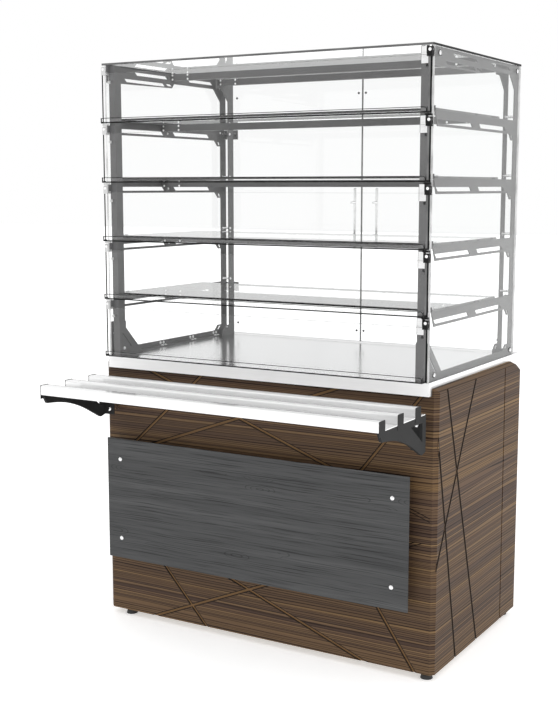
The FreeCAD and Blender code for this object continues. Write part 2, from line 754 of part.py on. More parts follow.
def make_front_gussets():
    """Slotted gusset plates that brace the uprights on the worktop, in line with the inner rear posts."""
    floor = d.worktop_height
    slant = frame_front + d.front_leg + d.front_gusset + floor + d.bottom_rail
    rear = plate_front + d.upright_flange
    crest = floor + d.gusset_plate_height
    outline = [
        (frame_front, floor), (slant - floor, floor), (rear, slant - rear),
        (rear, crest), (frame_front, crest),
    ]
    plates = []
    for name, side in SIDES:
        low = sided(side, post_inner, post_outer)[0]
        plates.append(prism(f"front_gusset_{name}", "YZ_Plane", low, d.plate, [outline, gusset_slot()]))
    group("front_gussets", plates)


def make_posts():
    """Inner rear posts, held to the side frames by spacer tubes."""
    tubes = []
    tube_y = leg_front + d.spacer_inset
    heights = [d.worktop_height + d.spacer_end]
    heights += [level(tier) - d.spacer_drop for tier in range(1, TIERS)]
    heights.append(glass_under - d.spacer_end)
    arm_low = glass_under - d.top_rail_rear
    outline = [
        (frame_rear, d.worktop_height), (frame_rear, glass_under), (leg_front - d.post_arm, glass_under),
        (leg_front - d.post_arm, arm_low), (leg_front - d.top_gusset, arm_low),
        (leg_front, arm_low - d.top_gusset), *foot_gusset(d.worktop_height + d.bottom_rail)[::-1],
        (leg_front - d.rear_gusset_run, d.worktop_height),
    ]
    for name, side in SIDES:
        post_x = sided(side, post_inner, post_outer)
        post = prism(f"rear_post_{name}", "YZ_Plane", post_x[0], d.plate, [outline, foot_hole()])
        keep(post, f"rear_post_{name}")
        low, high = sided(side, post_outer, plate_inner)
        for number, z in enumerate(heights, start=1):
            key = f"{name}_{number}"
            tubes.append(hexagon(f"post_spacer_{key}", "x", d.spacer_diameter, low, high, tube_y, z))
    group("post_spacers", tubes)


def make_base_angles():
    """Angles that screw the side frames down to the worktop."""
    floor = d.worktop_height
    start = plate_front + d.upright_flange
    for name, side in SIDES:
        outline = [
            (plate_inner, floor), (plate_inner, floor + d.bottom_rail),
            (plate_inner - d.plate, floor + d.bottom_rail),
            (plate_inner - d.plate, floor + d.plate), (plate_inner - d.angle_leg, floor + d.plate),
            (plate_inner - d.angle_leg, floor),
        ]
        if side < 0:
            outline = [(-as_size(x), z) for x, z in outline]
        end = leg_front - d.leaf_length
        angle = prism(f"base_angle_{name}", "XZ_Plane", -end, end - start, [outline])
        keep(angle, f"base_angle_{name}")


def make_shelf_rests():
    """Angles along the arms that carry the shelf glass, each with a front clip."""
    clips, rests = [], []
    start = frame_front + d.shelf_front
    for name, side in SIDES:
        for tier in range(1, TIERS):
            high = level(tier) + d.arm_rise
            outline = [
                (plate_inner, high), (plate_inner - d.rest_width, high),
                (plate_inner - d.rest_width, high - d.rest_sheet),
                (plate_inner - d.rest_sheet, high - d.rest_sheet),
                (plate_inner - d.rest_sheet, high - d.rest_drop), (plate_inner, high - d.rest_drop),
            ]
            if side < 0:
                outline = [(-as_size(x), z) for x, z in outline]
            end = start + along(d.shelf_depth)
            rest_name = f"shelf_rest_{name}_{tier}"
            rests.append(prism(rest_name, "XZ_Plane", -end, along(d.shelf_depth), [outline]))
            clip_x = sided(side, plate_inner - d.rest_width, plate_inner)
            clip_z = (high - d.rest_sheet, high - d.rest_sheet + d.clip_height)
            clips.append(box(f"shelf_clip_{name}_{tier}", clip_x, (start - d.clip_thickness, start), clip_z))
    group("shelf_rests", rests)
    group("shelf_clips", clips)


def channel(name, half_span, y, high):
    """Folded channel beam along X, open towards the operator."""
    low = high - d.beam_height
    rear = y + d.beam_depth
    outline = [
        (y, low), (rear, low), (rear, low + d.beam_sheet), (y + d.beam_sheet, low + d.beam_sheet),
        (y + d.beam_sheet, high - d.beam_sheet), (rear, high - d.beam_sheet), (rear, high), (y, high),
    ]
    beam = prism(name, "YZ_Plane", -as_size(half_span), 2 * as_size(half_span), [outline])
    laps = []
    for end, side in SIDES:
        lap_x = sided(side, as_size(half_span) - d.lap_length, half_span)
        laps.append(box(f"{name}_lap_{end}", lap_x, (y - d.lap_sheet, y), (low, high)))
    return beam, laps


def make_beams():
    """Cross beams under the top glass and under every shelf, with lapped end plates."""
    laps, beams = [], []
    middle_y = frame_front + along(d.top_beam_back)
    top_beam, pair = channel("top_beam_middle", plate_inner, middle_y, glass_under)
    keep(top_beam, "top_beam_middle")
    laps += pair
    rear_y = frame_front + along(d.rear_beam_back)
    rear_beam, pair = channel("top_beam_rear", post_inner, rear_y, glass_under)
    keep(rear_beam, "top_beam_rear")
    laps += pair
    for tier in range(1, TIERS):
        high = level(tier) + d.arm_rise - d.rest_sheet
        span = plate_inner - d.rest_sheet
        beam, pair = channel(f"shelf_beam_{tier}", span, frame_front + along(d.mid_beam_back), high)
        beams.append(beam)
        laps += pair
    group("shelf_beams", beams)
    group("beam_laps", laps)


def make_glazing():
    """Top, side and shelf glass with the bolts that hold the side panes."""
    top_y = (frame_front - d.top_glass_front, frame_rear + d.glass_overhang)
    keep(box("top_glass", (-half_glazing, half_glazing), top_y, (glass_under, top)), "top_glass")
    corners = []
    for y in (frame_front + d.bolt_inset, frame_rear - d.bolt_inset):
        for z in (d.worktop_height + d.bolt_height, glass_under - d.bolt_height):
            corners.append((y, z))
    outline = side_outline()
    bolts = []
    for name, side in SIDES:
        low = sided(side, half_frame, half_frame + d.glass)[0]
        keep(prism(f"side_glass_{name}", "YZ_Plane", low, d.glass, [outline]), f"side_glass_{name}")
        outer = half_frame + d.glass
        head_x = sided(side, outer, outer + d.bolt_head_height)
        for number, (y, z) in enumerate(corners, start=1):
            bolts.append(hexagon(f"glass_bolt_{name}_{number}", "x", d.bolt_head, *head_x, y, z))
    group("glass_bolts", bolts)
    half_shelf = half_frame - d.shelf_end_gap
    shelf_front = frame_front + d.shelf_front
    shelf_y = (shelf_front, shelf_front + along(d.shelf_depth))
    for tier in range(1, TIERS):
        low = level(tier) + d.arm_rise
        name = f"shelf_glass_{tier}"
        keep(box(name, (-half_shelf, half_shelf), shelf_y, (low, low + d.glass)), name)


def make_flap(number):
    """One clear customer flap with a folded finger lip, and the pivot blocks on its upper corners."""
    upper = level(number - 1)
    lower = level(number) + d.flap_rise
    flap_top = upper - d.flap_hang
    lip_root = flap_front - d.lip_reach
    lip_edge = lip_root - d.lip_lean
    lip_top = lower + d.lip_height
    sheet_outline = [(flap_back, flap_top), (flap_back, lower), (flap_front, lower), (flap_front, flap_top)]
    lip_outline = [
        (flap_front, lower), (lip_root, lower), (lip_edge, lip_top), (lip_edge + d.acrylic, lip_top),
        (lip_root + d.acrylic, lower + d.acrylic), (flap_front, lower + d.acrylic),
    ]
    half_lip = half_glazing - d.lip_inset
    flap = prism(f"flap_{number}", "YZ_Plane", -half_glazing, 2 * half_glazing, [sheet_outline])
    lip = new_sketch(flap, f"flap_lip_{number}", "YZ_Plane", -half_lip)
    draw_loop(lip, lip_outline)
    pad(flap, lip, f"flap_lip_pad_{number}", 2 * half_lip)

    def at_lip_corner(a, b):
        at_top = near(a.z, lip_top) and near(b.z, lip_top)
        return at_top and near(a.x, b.x)

    def at_bend(a, b):
        at_bottom = near(a.z, lower) and near(b.z, lower)
        return at_bottom and abs(a.x - b.x) > half_lip.value

    dress(flap, "Fillet", f"flap_lip_round_{number}", "Radius", d.lip_round, at_lip_corner)
    dress(flap, "Fillet", f"flap_bend_round_{number}", "Radius", d.bend_round, at_bend)
    keep(flap, f"flap_{number}")
    blocks = []
    pivot_z = upper - d.pivot_drop
    reach = d.pivot_block_depth / 2
    block_low = upper - d.pivot_block_length
    shoulder = pivot_z + d.pivot_crown
    section = [
        (pivot_y - reach, block_low), (flap_front, block_low), (flap_front, flap_top), (flap_back, flap_top),
        (flap_back, block_low), (pivot_y + reach, block_low), (pivot_y + reach, shoulder),
        (pivot_y + d.pivot_crown, pivot_z + reach), (pivot_y - d.pivot_crown, pivot_z + reach),
        (pivot_y - reach, shoulder),
    ]
    bore = ((pivot_y, pivot_z), d.pivot_pin + 2 * d.pivot_clearance)
    for name, side in SIDES:
        low = sided(side, pivot_inner, pivot_outer)[0]
        block_name = f"pivot_block_{name}_{number}"
        blocks.append(prism(block_name, "YZ_Plane", low, d.pivot_block_width, [section], [bore]))
    group(f"flap_pivots_{number}", blocks)


def make_flap_hinges():
    """Fixed hinge plates with pivot pins on the uprights, and the rubber stops behind the flaps."""
    plates, stops = [], []
    plate_y = (frame_front - d.hinge_sheet, frame_front)
    ear_y = (frame_front - d.hinge_sheet - d.ear_reach, frame_front - d.hinge_sheet)
    for tier in range(TIERS):
        line = level(tier)
        pivot_z = line - d.pivot_drop
        high = line - d.hinge_top_gap
        for name, side in SIDES:
            key = f"{name}_{tier + 1}"
            leaf_x = sided(side, hinge_outer - d.hinge_width, hinge_outer)
            leaf = box(f"hinge_leaf_{key}", leaf_x, plate_y, (high - d.hinge_length, high))
            ear_x = sided(side, hinge_outer - d.hinge_sheet, hinge_outer)
            ear = box(f"hinge_ear_{key}", ear_x, ear_y, (high - d.ear_length, high))
            pin_x = sided(side, hinge_outer, pivot_outer)
            pin = rod(f"hinge_pin_{key}", "x", d.pivot_pin, *pin_x, pivot_y, pivot_z)
            plates.append(joined(f"hinge_plate_{key}", [leaf, ear, pin]))
            stop_x = sided(side, hinge_outer - d.stop_width, hinge_outer)
            stop_top = high - d.hinge_length - d.stop_gap_above
            stop_y = (flap_back + d.stop_gap, frame_front)
            stops.append(box(f"flap_stop_{key}", stop_x, stop_y, (stop_top - d.stop_height, stop_top)))
    group("flap_hinge_plates", plates)
    group("flap_stops", stops)


def make_doors():
    """Two operator-side glass doors with clamped hinges and bar handles."""
    knuckle_x = plate_inner - d.leaf_sheet / 2
    knuckle_y = door_rear + d.knuckle_offset
    half_knuckle = d.knuckle_length / 2
    door_edge = plate_inner - d.door_edge_gap
    hinge_lines = (level(1) - d.hinge_drop, level(TIERS - 1) - d.hinge_drop)
    leaf_start = leg_front + d.spacer_inset + d.spacer_diameter
    fixed = []
    for name, side in SIDES:
        door_x = sided(side, d.door_middle_gap / 2, door_edge)
        door_z = (d.worktop_height + d.door_end_gap, top - d.door_end_gap)
        keep(box(f"rear_door_{name}", door_x, (door_front, door_rear), door_z), f"rear_door_{name}")
        clamps = []
        for number, z in enumerate(hinge_lines, start=1):
            key = f"{name}_{number}"
            mid = (z - half_knuckle, z + half_knuckle)
            ends = (z - d.knuckle_length, z + d.knuckle_length)
            leaf_x = sided(side, plate_inner - d.leaf_sheet, plate_inner)
            leaf_end = knuckle_y - d.knuckle_diameter / 2 - d.knuckle_gap
            parts = [box(f"door_leaf_{key}", leaf_x, (leaf_start, leaf_end), ends)]
            lug_x = sided(side, knuckle_x - d.lug, knuckle_x + d.leaf_sheet / 2)
            for end, lug_z in (("low", (ends[0], mid[0])), ("high", (mid[1], ends[1]))):
                parts.append(box(f"door_lug_{key}_{end}", lug_x, (leaf_end, knuckle_y + d.lug), lug_z))
            parts.append(rod(f"door_pin_{key}", "z", d.hinge_pin, *mid, side * knuckle_x, knuckle_y))
            fixed.append(joined(f"door_hinge_{key}", parts))
            strap_x = sided(side, door_edge - d.clamp_length, door_edge)
            strap_y = (door_rear, door_rear + d.leaf_sheet)
            strap = box(f"clamp_strap_{key}", strap_x, strap_y, ends)
            barrel_z = (mid[0] + d.knuckle_gap, mid[1] - d.knuckle_gap)
            arm = box(f"clamp_arm_{key}", sided(side, door_edge, knuckle_x), strap_y, barrel_z)
            axis_at = (side * knuckle_x, knuckle_y)
            barrel = rod(f"clamp_barrel_{key}", "z", d.knuckle_diameter, *barrel_z, *axis_at)
            bore = rod(f"clamp_bore_{key}", "z", d.hinge_pin + 2 * d.knuckle_gap, *barrel_z, *axis_at)
            solid = joined(f"clamp_solid_{key}", [strap, arm, barrel])
            clamps.append(cut(f"door_clamp_{key}", solid, bore))
        group(f"door_clamps_{name}", clamps)
        bar_x = side * d.handle_spread / 2
        bar_y = door_rear + d.handle_reach
        middle = (hinge_lines[0] + hinge_lines[1]) / 2 - d.handle_drop
        bar = rod(f"handle_bar_{name}", "z", d.handle_diameter, middle - d.handle_length / 2,
                  middle + d.handle_length / 2, bar_x, bar_y)
        posts = []
        for end, sign in (("high", 1), ("low", -1)):
            post_z = middle + sign * d.handle_post_pitch / 2
            post_name = f"handle_post_{name}_{end}"
            posts.append(rod(post_name, "y", d.handle_post_diameter, door_rear, bar_y, bar_x, post_z))
        keep(joined(f"door_handle_{name}", [bar, *posts]), f"door_handle_{name}")
    group("door_hinges", fixed)


make_side_panels()
make_front_panel()
overlay_studs, overlay_heads = make_overlay()
make_carcass()
make_feet()
make_worktop()
make_tray_slide()
tray_spacers, tray_bolts = make_tray_brackets()
group("panel_standoffs", overlay_studs + tray_spacers)
group("standoff_heads", overlay_heads + tray_bolts)
make_side_frames()
make_uprights()
make_front_gussets()
make_posts()
make_base_angles()
make_shelf_rests()
make_beams()
make_glazing()
for number in range(1, TIERS + 1):
    make_flap(number)
make_flap_hinges()
make_doors()
doc.recompute()

for thing in doc.Objects:
    if "Invalid" in thing.State or "Error" in thing.State:
        raise RuntimeError(f"{thing.Name} failed: {thing.State}")
for node in nodes:
    if node.Shape.isNull() or not node.Shape.isValid():
        raise RuntimeError(f"{node.Label} has no valid shape")

os.makedirs("parts", exist_ok=True)
for node in nodes:
    node.Shape.exportStep(f"parts/{node.Label}.step")
    print(node.Label, len(node.Shape.Solids), round(node.Shape.Volume))
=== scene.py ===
"""Looks of the ambient display case: materials, small fittings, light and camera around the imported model."""
import json
import math

import bmesh
import bpy
from mathutils import Matrix, Vector


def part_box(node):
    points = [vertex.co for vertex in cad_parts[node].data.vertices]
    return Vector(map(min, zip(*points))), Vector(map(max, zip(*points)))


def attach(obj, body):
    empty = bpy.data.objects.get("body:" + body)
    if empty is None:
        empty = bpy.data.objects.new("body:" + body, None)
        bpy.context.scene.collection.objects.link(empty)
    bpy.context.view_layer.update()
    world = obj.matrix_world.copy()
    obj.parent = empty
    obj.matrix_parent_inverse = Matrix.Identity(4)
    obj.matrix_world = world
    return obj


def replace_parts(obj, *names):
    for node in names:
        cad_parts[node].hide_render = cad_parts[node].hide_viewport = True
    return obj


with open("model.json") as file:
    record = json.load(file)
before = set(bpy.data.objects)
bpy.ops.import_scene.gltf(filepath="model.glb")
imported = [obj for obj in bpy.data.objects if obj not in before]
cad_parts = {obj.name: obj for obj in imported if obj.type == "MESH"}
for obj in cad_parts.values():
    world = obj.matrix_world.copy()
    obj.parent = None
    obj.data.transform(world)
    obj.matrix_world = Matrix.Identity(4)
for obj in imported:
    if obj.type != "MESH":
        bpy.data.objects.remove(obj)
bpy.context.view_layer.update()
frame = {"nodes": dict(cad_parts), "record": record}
nodes = frame["nodes"]
BODY = "cabinet"
MM = 0.001
SIDES = (-1, 1)
UP = (0, 0, 1)
FORWARD = (0, -1, 0)
BACKWARD = (0, 1, 0)


def box_mm(node):
    """Low and high corner of a node in millimetres, freed from the rounding of its mesh."""
    return [[round(value / MM, 2) for value in corner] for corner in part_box(node)]


# Places in the frame that several sections share, in millimetres
TIERS = 5
FRAME_FACE = box_mm("side_frame_right")[0][0]
FRAME_REAR = box_mm("side_frame_right")[1][1]
FRAME_TOP = box_mm("side_frame_right")[1][2]
POST_FACE = box_mm("rear_post_right")[0][0]
POST_BACK = box_mm("rear_post_right")[1][0]
TIER_HEIGHT = box_mm("flap_1")[0][2] - box_mm("flap_2")[0][2]
LEVELS = [FRAME_TOP - TIER_HEIGHT * tier for tier in range(TIERS)]
SHELF_LEVELS = LEVELS[1:]
RIB_WIDTH = 34.0
RIB_PITCH = 110.0
RIB_FRONTS = [box_mm("tray_slide")[0][1] + RIB_PITCH * rib for rib in range(3)]


# Steps that the materials are made of
def blank_material(name):
    """Start a material with an output alone."""
    material = bpy.data.materials.new(name)
    material.use_nodes = True
    tree = material.node_tree
    tree.nodes.clear()
    return material, tree, tree.nodes.new("ShaderNodeOutputMaterial")


def new_material(name):
    """Start a material with one main shader."""
    material, tree, out = blank_material(name)
    shader = tree.nodes.new("ShaderNodeBsdfPrincipled")
    tree.links.new(shader.outputs["BSDF"], out.inputs["Surface"])
    return material, tree, shader


def grey(tone):
    """A grey as red, green and blue."""
    return (tone, tone, tone)


def own_space(tree):
    """Object coordinates."""
    return tree.nodes.new("ShaderNodeTexCoord").outputs["Object"]


def stretched(tree, scale, vector=None):
    """Stretch a vector, or else the object coordinates, along each axis."""
    mapping = tree.nodes.new("ShaderNodeMapping")
    mapping.inputs["Scale"].default_value = scale
    tree.links.new(vector or own_space(tree), mapping.inputs["Vector"])
    return mapping.outputs["Vector"]


def places(tree, vector=None):
    """Split a vector, or else the object coordinates, into three values."""
    parts = tree.nodes.new("ShaderNodeSeparateXYZ")
    tree.links.new(vector or own_space(tree), parts.inputs["Vector"])
    return parts.outputs["X"], parts.outputs["Y"], parts.outputs["Z"]


def noise(tree, scale, detail=2.0, rough=0.5, vector=None):
    """Value of a noise texture that is scaled along each axis."""
    texture = tree.nodes.new("ShaderNodeTexNoise")
    texture.inputs["Scale"].default_value = 1.0
    texture.inputs["Detail"].default_value = detail
    texture.inputs["Roughness"].default_value = rough
    tree.links.new(stretched(tree, scale, vector), texture.inputs["Vector"])
    return texture.outputs["Fac"]


def ramp(tree, value, stops):
    """Turn a value into a colour through place and colour stops."""
    band = tree.nodes.new("ShaderNodeValToRGB")
    elements = band.color_ramp.elements
    while len(elements) < len(stops):
        elements.new(0.5)
    for element, (place, colour) in zip(elements, stops):
        element.position = place
        element.color = (*colour, 1.0)
    tree.links.new(value, band.inputs["Fac"])
    return band.outputs["Color"]


def spread(tree, value, low, high, from_low=0.3, from_high=0.7):
    """Map a value to another range."""
    node = tree.nodes.new("ShaderNodeMapRange")
    node.inputs["From Min"].default_value = from_low
    node.inputs["From Max"].default_value = from_high
    node.inputs["To Min"].default_value = low
    node.inputs["To Max"].default_value = high
    tree.links.new(value, node.inputs["Value"])
    return node.outputs["Result"]


def multiply(tree, *colours):
    """Multiply colours with each other."""
    total = colours[0]
    for colour in colours[1:]:
        mix = tree.nodes.new("ShaderNodeMix")
        mix.data_type = "RGBA"
        mix.blend_type = "MULTIPLY"
        mix.inputs["Factor"].default_value = 1.0
        tree.links.new(total, mix.inputs["A"])
        tree.links.new(colour, mix.inputs["B"])
        total = mix.outputs["Result"]
    return total


def laid_over(tree, share, under, over):
    """Lay one colour over another by a share; either may be a constant."""
    mix = tree.nodes.new("ShaderNodeMix")
    mix.data_type = "RGBA"
    tree.links.new(share, mix.inputs["Factor"])
    for socket, colour in ((mix.inputs["A"], under), (mix.inputs["B"], over)):
        if isinstance(colour, tuple):
            socket.default_value = (*colour, 1.0)
        else:
            tree.links.new(colour, socket)
    return mix.outputs["Result"]


def step_of(tree, operation, first, second=0.0):
    """Join two values, or a value and a number, by one math step."""
    node = tree.nodes.new("ShaderNodeMath")
    node.operation = operation
    for socket, item in zip(node.inputs, (first, second)):
        if isinstance(item, float):
            socket.default_value = item
        else:
            tree.links.new(item, socket)
    return node.outputs["Value"]


def inside(tree, value, low, high):
    """One where a value lies between two limits, zero elsewhere."""
    above = step_of(tree, "GREATER_THAN", value, low)
    return step_of(tree, "MULTIPLY", above, step_of(tree, "LESS_THAN", value, high))


def surface(tree, shader, colour, value, rough_low, rough_high):
    """Link a colour, and a roughness that follows a value."""
    tree.links.new(colour, shader.inputs["Base Color"])
    tree.links.new(spread(tree, value, rough_low, rough_high), shader.inputs["Roughness"])


FINE_RELIEF = 0.2 * MM
WOOD_RELIEF = 0.5 * MM


def bump(tree, shader, value, strength, distance=FINE_RELIEF):
    """Raise the surface by a value."""
    node = tree.nodes.new("ShaderNodeBump")
    node.inputs["Strength"].default_value = strength
    node.inputs["Distance"].default_value = distance
    tree.links.new(value, node.inputs["Height"])
    tree.links.new(node.outputs["Normal"], shader.inputs["Normal"])


def bent(tree, amount, scale):
    """Object coordinates whose height wanders slowly, for wavy grain."""
    source = own_space(tree)
    drift = noise(tree, scale, vector=source)
    lift = tree.nodes.new("ShaderNodeCombineXYZ")
    tree.links.new(spread(tree, drift, -amount, amount, 0.0, 1.0), lift.inputs["Z"])
    total = tree.nodes.new("ShaderNodeVectorMath")
    tree.links.new(source, total.inputs[0])
    tree.links.new(lift.outputs["Vector"], total.inputs[1])
    return total.outputs["Vector"]


def line_distance(tree, first, second, start, end):
    """Distance of a point from a straight line, in the plane of two coordinates."""
    run = math.hypot(end[0] - start[0], end[1] - start[1])
    slope_a = (end[1] - start[1]) / run
    slope_b = (start[0] - end[0]) / run
    part_a = step_of(tree, "MULTIPLY", first, slope_a)
    part_b = step_of(tree, "MULTIPLY", second, slope_b)
    offset = start[0] * slope_a + start[1] * slope_b
    away = step_of(tree, "SUBTRACT", step_of(tree, "ADD", part_a, part_b), offset)
    return step_of(tree, "ABSOLUTE", away)


def nearest_line(tree, first, second, lines):
    """Distance of a point from the nearest of some lines, at most one metre."""
    best = 1.0
    for start, end in lines:
        best = step_of(tree, "MINIMUM", line_distance(tree, first, second, start, end), best)
    return best


# Grooves: ends as shares of the front's half width, or of the end board's depth and the worktop's height
UPPER_GROOVES = ((-0.909, 0.476), (-0.291, -0.845), (0.673, -0.745), (1.0, 0.6))
LOWER_GROOVES = ((-0.691, -0.318), (-0.364, 0.727), (0.2, -0.782), (0.669, 0.951))
SIDE_GROOVES = (
    ((0.088, 0.995), (0.504, 0.0)), ((0.44, 0.995), (-0.03, 0.324)), ((0.021, 0.776), (0.252, 0.0)),
)

# Grooves: how far they run past the board and behind the overlay, the height where upper and lower ones part,
# and how far from a groove's line and how deep its dark rim of painted shade and its bottom reach; the bottom
# shows the board under the veneer, darkened as painted shade
GROOVE_OVERRUN = 18.0 * MM
OVERLAY_LAP = 21.0 * MM
GROOVE_SPLIT = 0.4
RIM_REACH = (3.0 * MM, 6.0 * MM)
RIM_DEPTH = (-1.0 * MM, 2.0 * MM)
BARED_REACH = 3.4 * MM
BARED_DEPTH = (2.0 * MM, 3.4 * MM)
# Painted shade: the rim colour; the bottom colours are the board's own tone darkened as painted shade, darker
# on the sides
GROOVE_SHADE_COLOUR = (0.012, 0.007, 0.004)
FRONT_BARED_AND_SHADE = (0.165, 0.092, 0.038)
SIDE_BARED_AND_SHADE = (0.060, 0.034, 0.017)


def front_grooves():
    """Lines of the front grooves above and below the overlay, in X and Z."""
    low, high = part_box("front_panel")
    edge_low, edge_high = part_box("overlay_panel")
    half = high[0]
    upper_ends = (high[2] + GROOVE_OVERRUN, edge_high[2] - OVERLAY_LAP)
    lower_ends = (edge_low[2] + OVERLAY_LAP, low[2] - GROOVE_OVERRUN)
    above = [((half * a, upper_ends[0]), (half * b, upper_ends[1])) for a, b in UPPER_GROOVES]
    below = [((half * a, lower_ends[0]), (half * b, lower_ends[1])) for a, b in LOWER_GROOVES]
    return above, below


def side_grooves():
    """Lines of the slanted side grooves, in Y and Z."""
    low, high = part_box("side_panel_right")
    run = high[1] - low[1]
    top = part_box("worktop")[1][2]
    return [tuple((low[1] + run * y, top * z) for y, z in ends) for ends in SIDE_GROOVES]


def front_groove_places(tree):
    """Depth under the face of the front board, and distance from its nearest groove."""
    across, deep, tall = places(tree)
    above, below = front_grooves()
    depth = step_of(tree, "SUBTRACT", deep, box_mm("front_panel")[0][1] * MM)
    not_above = step_of(tree, "LESS_THAN", tall, GROOVE_SPLIT)
    not_below = step_of(tree, "GREATER_THAN", tall, GROOVE_SPLIT)
    from_above = step_of(tree, "ADD", nearest_line(tree, across, tall, above), not_above)
    from_below = step_of(tree, "ADD", nearest_line(tree, across, tall, below), not_below)
    return depth, step_of(tree, "MINIMUM", from_above, from_below)


def side_groove_places(tree):
    """Depth under the outer face of an end board, and distance from its nearest groove."""
    across, deep, tall = places(tree)
    face = box_mm("side_panel_right")[1][0] * MM
    depth = step_of(tree, "SUBTRACT", face, step_of(tree, "ABSOLUTE", across))
    return depth, nearest_line(tree, deep, tall, side_grooves())


STRIPES_PER_METRE = 148.0
STRIPE_DRIFT = 7.0


def stripe_steps(tree, height, drift):
    """A chance value for each veneer stripe, and the place within it, from the height and a slow drift."""
    level = step_of(tree, "MULTIPLY", height, STRIPES_PER_METRE)
    phase = step_of(tree, "ADD", level, step_of(tree, "MULTIPLY", drift, STRIPE_DRIFT))
    chance = tree.nodes.new("ShaderNodeTexWhiteNoise")
    chance.noise_dimensions = "1D"
    tree.links.new(step_of(tree, "FLOOR", phase), chance.inputs["W"])
    return chance.outputs["Value"], step_of(tree, "FRACT", phase)


def veneer(tree):
    """Brown of the veneer with its dark level stripes, and the fine fibre in it."""
    grain = bent(tree, 0.0035, (1.6, 1.6, 1.4))
    drift = noise(tree, (0.35, 0.35, 24.0), vector=grain)
    band = noise(tree, (0.30, 0.30, 15.0), vector=grain)
    fibre = noise(tree, (5.0, 5.0, 480.0), rough=0.6, vector=grain)
    fade = noise(tree, (2.2, 2.2, 60.0), vector=grain)
    chance, place = stripe_steps(tree, places(tree, grain)[2], drift)
    colour = ramp(tree, chance, [
        (0.0, (0.080, 0.050, 0.033)), (0.35, (0.110, 0.068, 0.040)), (0.7, (0.154, 0.097, 0.052)),
        (1.0, (0.196, 0.127, 0.066)),
    ])
    dark = ramp(tree, place, [
        (0.0, (0.15, 0.12, 0.11)), (0.20, (0.15, 0.12, 0.11)), (0.29, grey(1.0)),
        (0.93, (0.96, 0.95, 0.94)), (1.0, (0.20, 0.17, 0.16)),
    ])
    weak = ramp(tree, fade, [(0.46, grey(0.0)), (0.66, grey(0.42))])
    lines = laid_over(tree, weak, dark, (0.85, 0.83, 0.82))
    tint = ramp(tree, band, [
        (0.38, (0.76, 0.72, 0.78)), (0.52, (0.98, 0.95, 0.91)), (0.64, (1.12, 1.06, 0.90)),
    ])
    hair = ramp(tree, fibre, [(0.35, grey(0.82)), (0.65, grey(1.08))])
    return multiply(tree, colour, lines, tint, hair), fibre


def striped_wood(name, groove_places, bared_and_shade):
    """Striped veneer; its cut grooves have dark rims of painted shade and show the board under the veneer,
    darkened as painted shade.
    """
    material, tree, shader = new_material(name)
    tone, fibre = veneer(tree)
    depth, away = groove_places(tree)
    rim = step_of(tree, "MULTIPLY", inside(tree, away, *RIM_REACH), inside(tree, depth, *RIM_DEPTH))
    near = step_of(tree, "LESS_THAN", away, BARED_REACH)
    bottom = step_of(tree, "MULTIPLY", near, inside(tree, depth, *BARED_DEPTH))
    # Painted shade: the dark rim on the groove walls and edges, and the darkening of the groove bottom
    tone = laid_over(tree, rim, tone, GROOVE_SHADE_COLOUR)
    tone = laid_over(tree, bottom, tone, bared_and_shade)
    surface(tree, shader, tone, fibre, 0.52, 0.66)
    bump(tree, shader, fibre, 0.10, WOOD_RELIEF)
    shader.inputs["Specular IOR Level"].default_value = 0.18
    return material


# Heights of the two rows of figure rings on the overlay
FIGURE_LOW_ROW = (0.268, 0.318)
FIGURE_HIGH_ROW = (0.492, 0.528)
RINGS_PER_CELL = 9.0
FIGURE_REACH = 0.42
FIGURE_CHANCE = 0.44


def figure_rings(tree, grain):
    """Drawn-out rings in patches along the two rows."""
    cells = tree.nodes.new("ShaderNodeTexVoronoi")
    cells.inputs["Scale"].default_value = 1.0
    tree.links.new(stretched(tree, (6.5, 1.0, 26.0), grain), cells.inputs["Vector"])
    distance = cells.outputs["Distance"]
    ring = step_of(tree, "FRACT", step_of(tree, "MULTIPLY", distance, RINGS_PER_CELL))
    rings = ramp(tree, ring, [(0.0, grey(0.55)), (0.22, grey(1.0)), (0.9, grey(1.0)), (1.0, grey(0.55))])
    tall = places(tree)[2]
    rows = step_of(tree, "ADD", inside(tree, tall, *FIGURE_LOW_ROW), inside(tree, tall, *FIGURE_HIGH_ROW))
    patchy = step_of(tree, "GREATER_THAN", noise(tree, (5.0, 5.0, 8.0), 1.0), FIGURE_CHANCE)
    core = step_of(tree, "LESS_THAN", distance, FIGURE_REACH)
    share = step_of(tree, "MULTIPLY", step_of(tree, "MULTIPLY", rows, patchy), core)
    return laid_over(tree, share, grey(1.0), rings)


def grey_wood():
    """Dark grey laminate with fine level grain and two rows of drawn-out figure rings."""
    material, tree, shader = new_material("grey_wood")
    grain = bent(tree, 0.006, (3.0, 3.0, 6.0))
    broad = noise(tree, (1.0, 1.0, 40.0), 5.0, 0.66, grain)
    fine = noise(tree, (4.0, 4.0, 330.0), 3.0, 0.6, grain)
    colour = ramp(tree, broad, [
        (0.30, (0.046, 0.047, 0.048)), (0.46, (0.060, 0.061, 0.062)), (0.56, (0.069, 0.070, 0.071)),
        (0.72, (0.088, 0.089, 0.090)),
    ])
    streak = ramp(tree, fine, [(0.36, grey(0.45)), (0.46, grey(1.0)), (0.7, grey(1.2))])
    surface(tree, shader, multiply(tree, colour, streak, figure_rings(tree, grain)), fine, 0.5, 0.64)
    bump(tree, shader, fine, 0.16, WOOD_RELIEF)
    shader.inputs["Specular IOR Level"].default_value = 0.18
    return material


def carcass_board():
    """Plain melamine-faced board inside the counter."""
    material, tree, shader = new_material("carcass_board")
    speck = noise(tree, (90.0, 90.0, 90.0), 4.0, 0.6)
    colour = ramp(tree, speck, [(0.35, (0.30, 0.26, 0.21)), (0.65, (0.40, 0.35, 0.29))])
    surface(tree, shader, colour, speck, 0.5, 0.65)
    bump(tree, shader, speck, 0.1, WOOD_RELIEF)
    return material


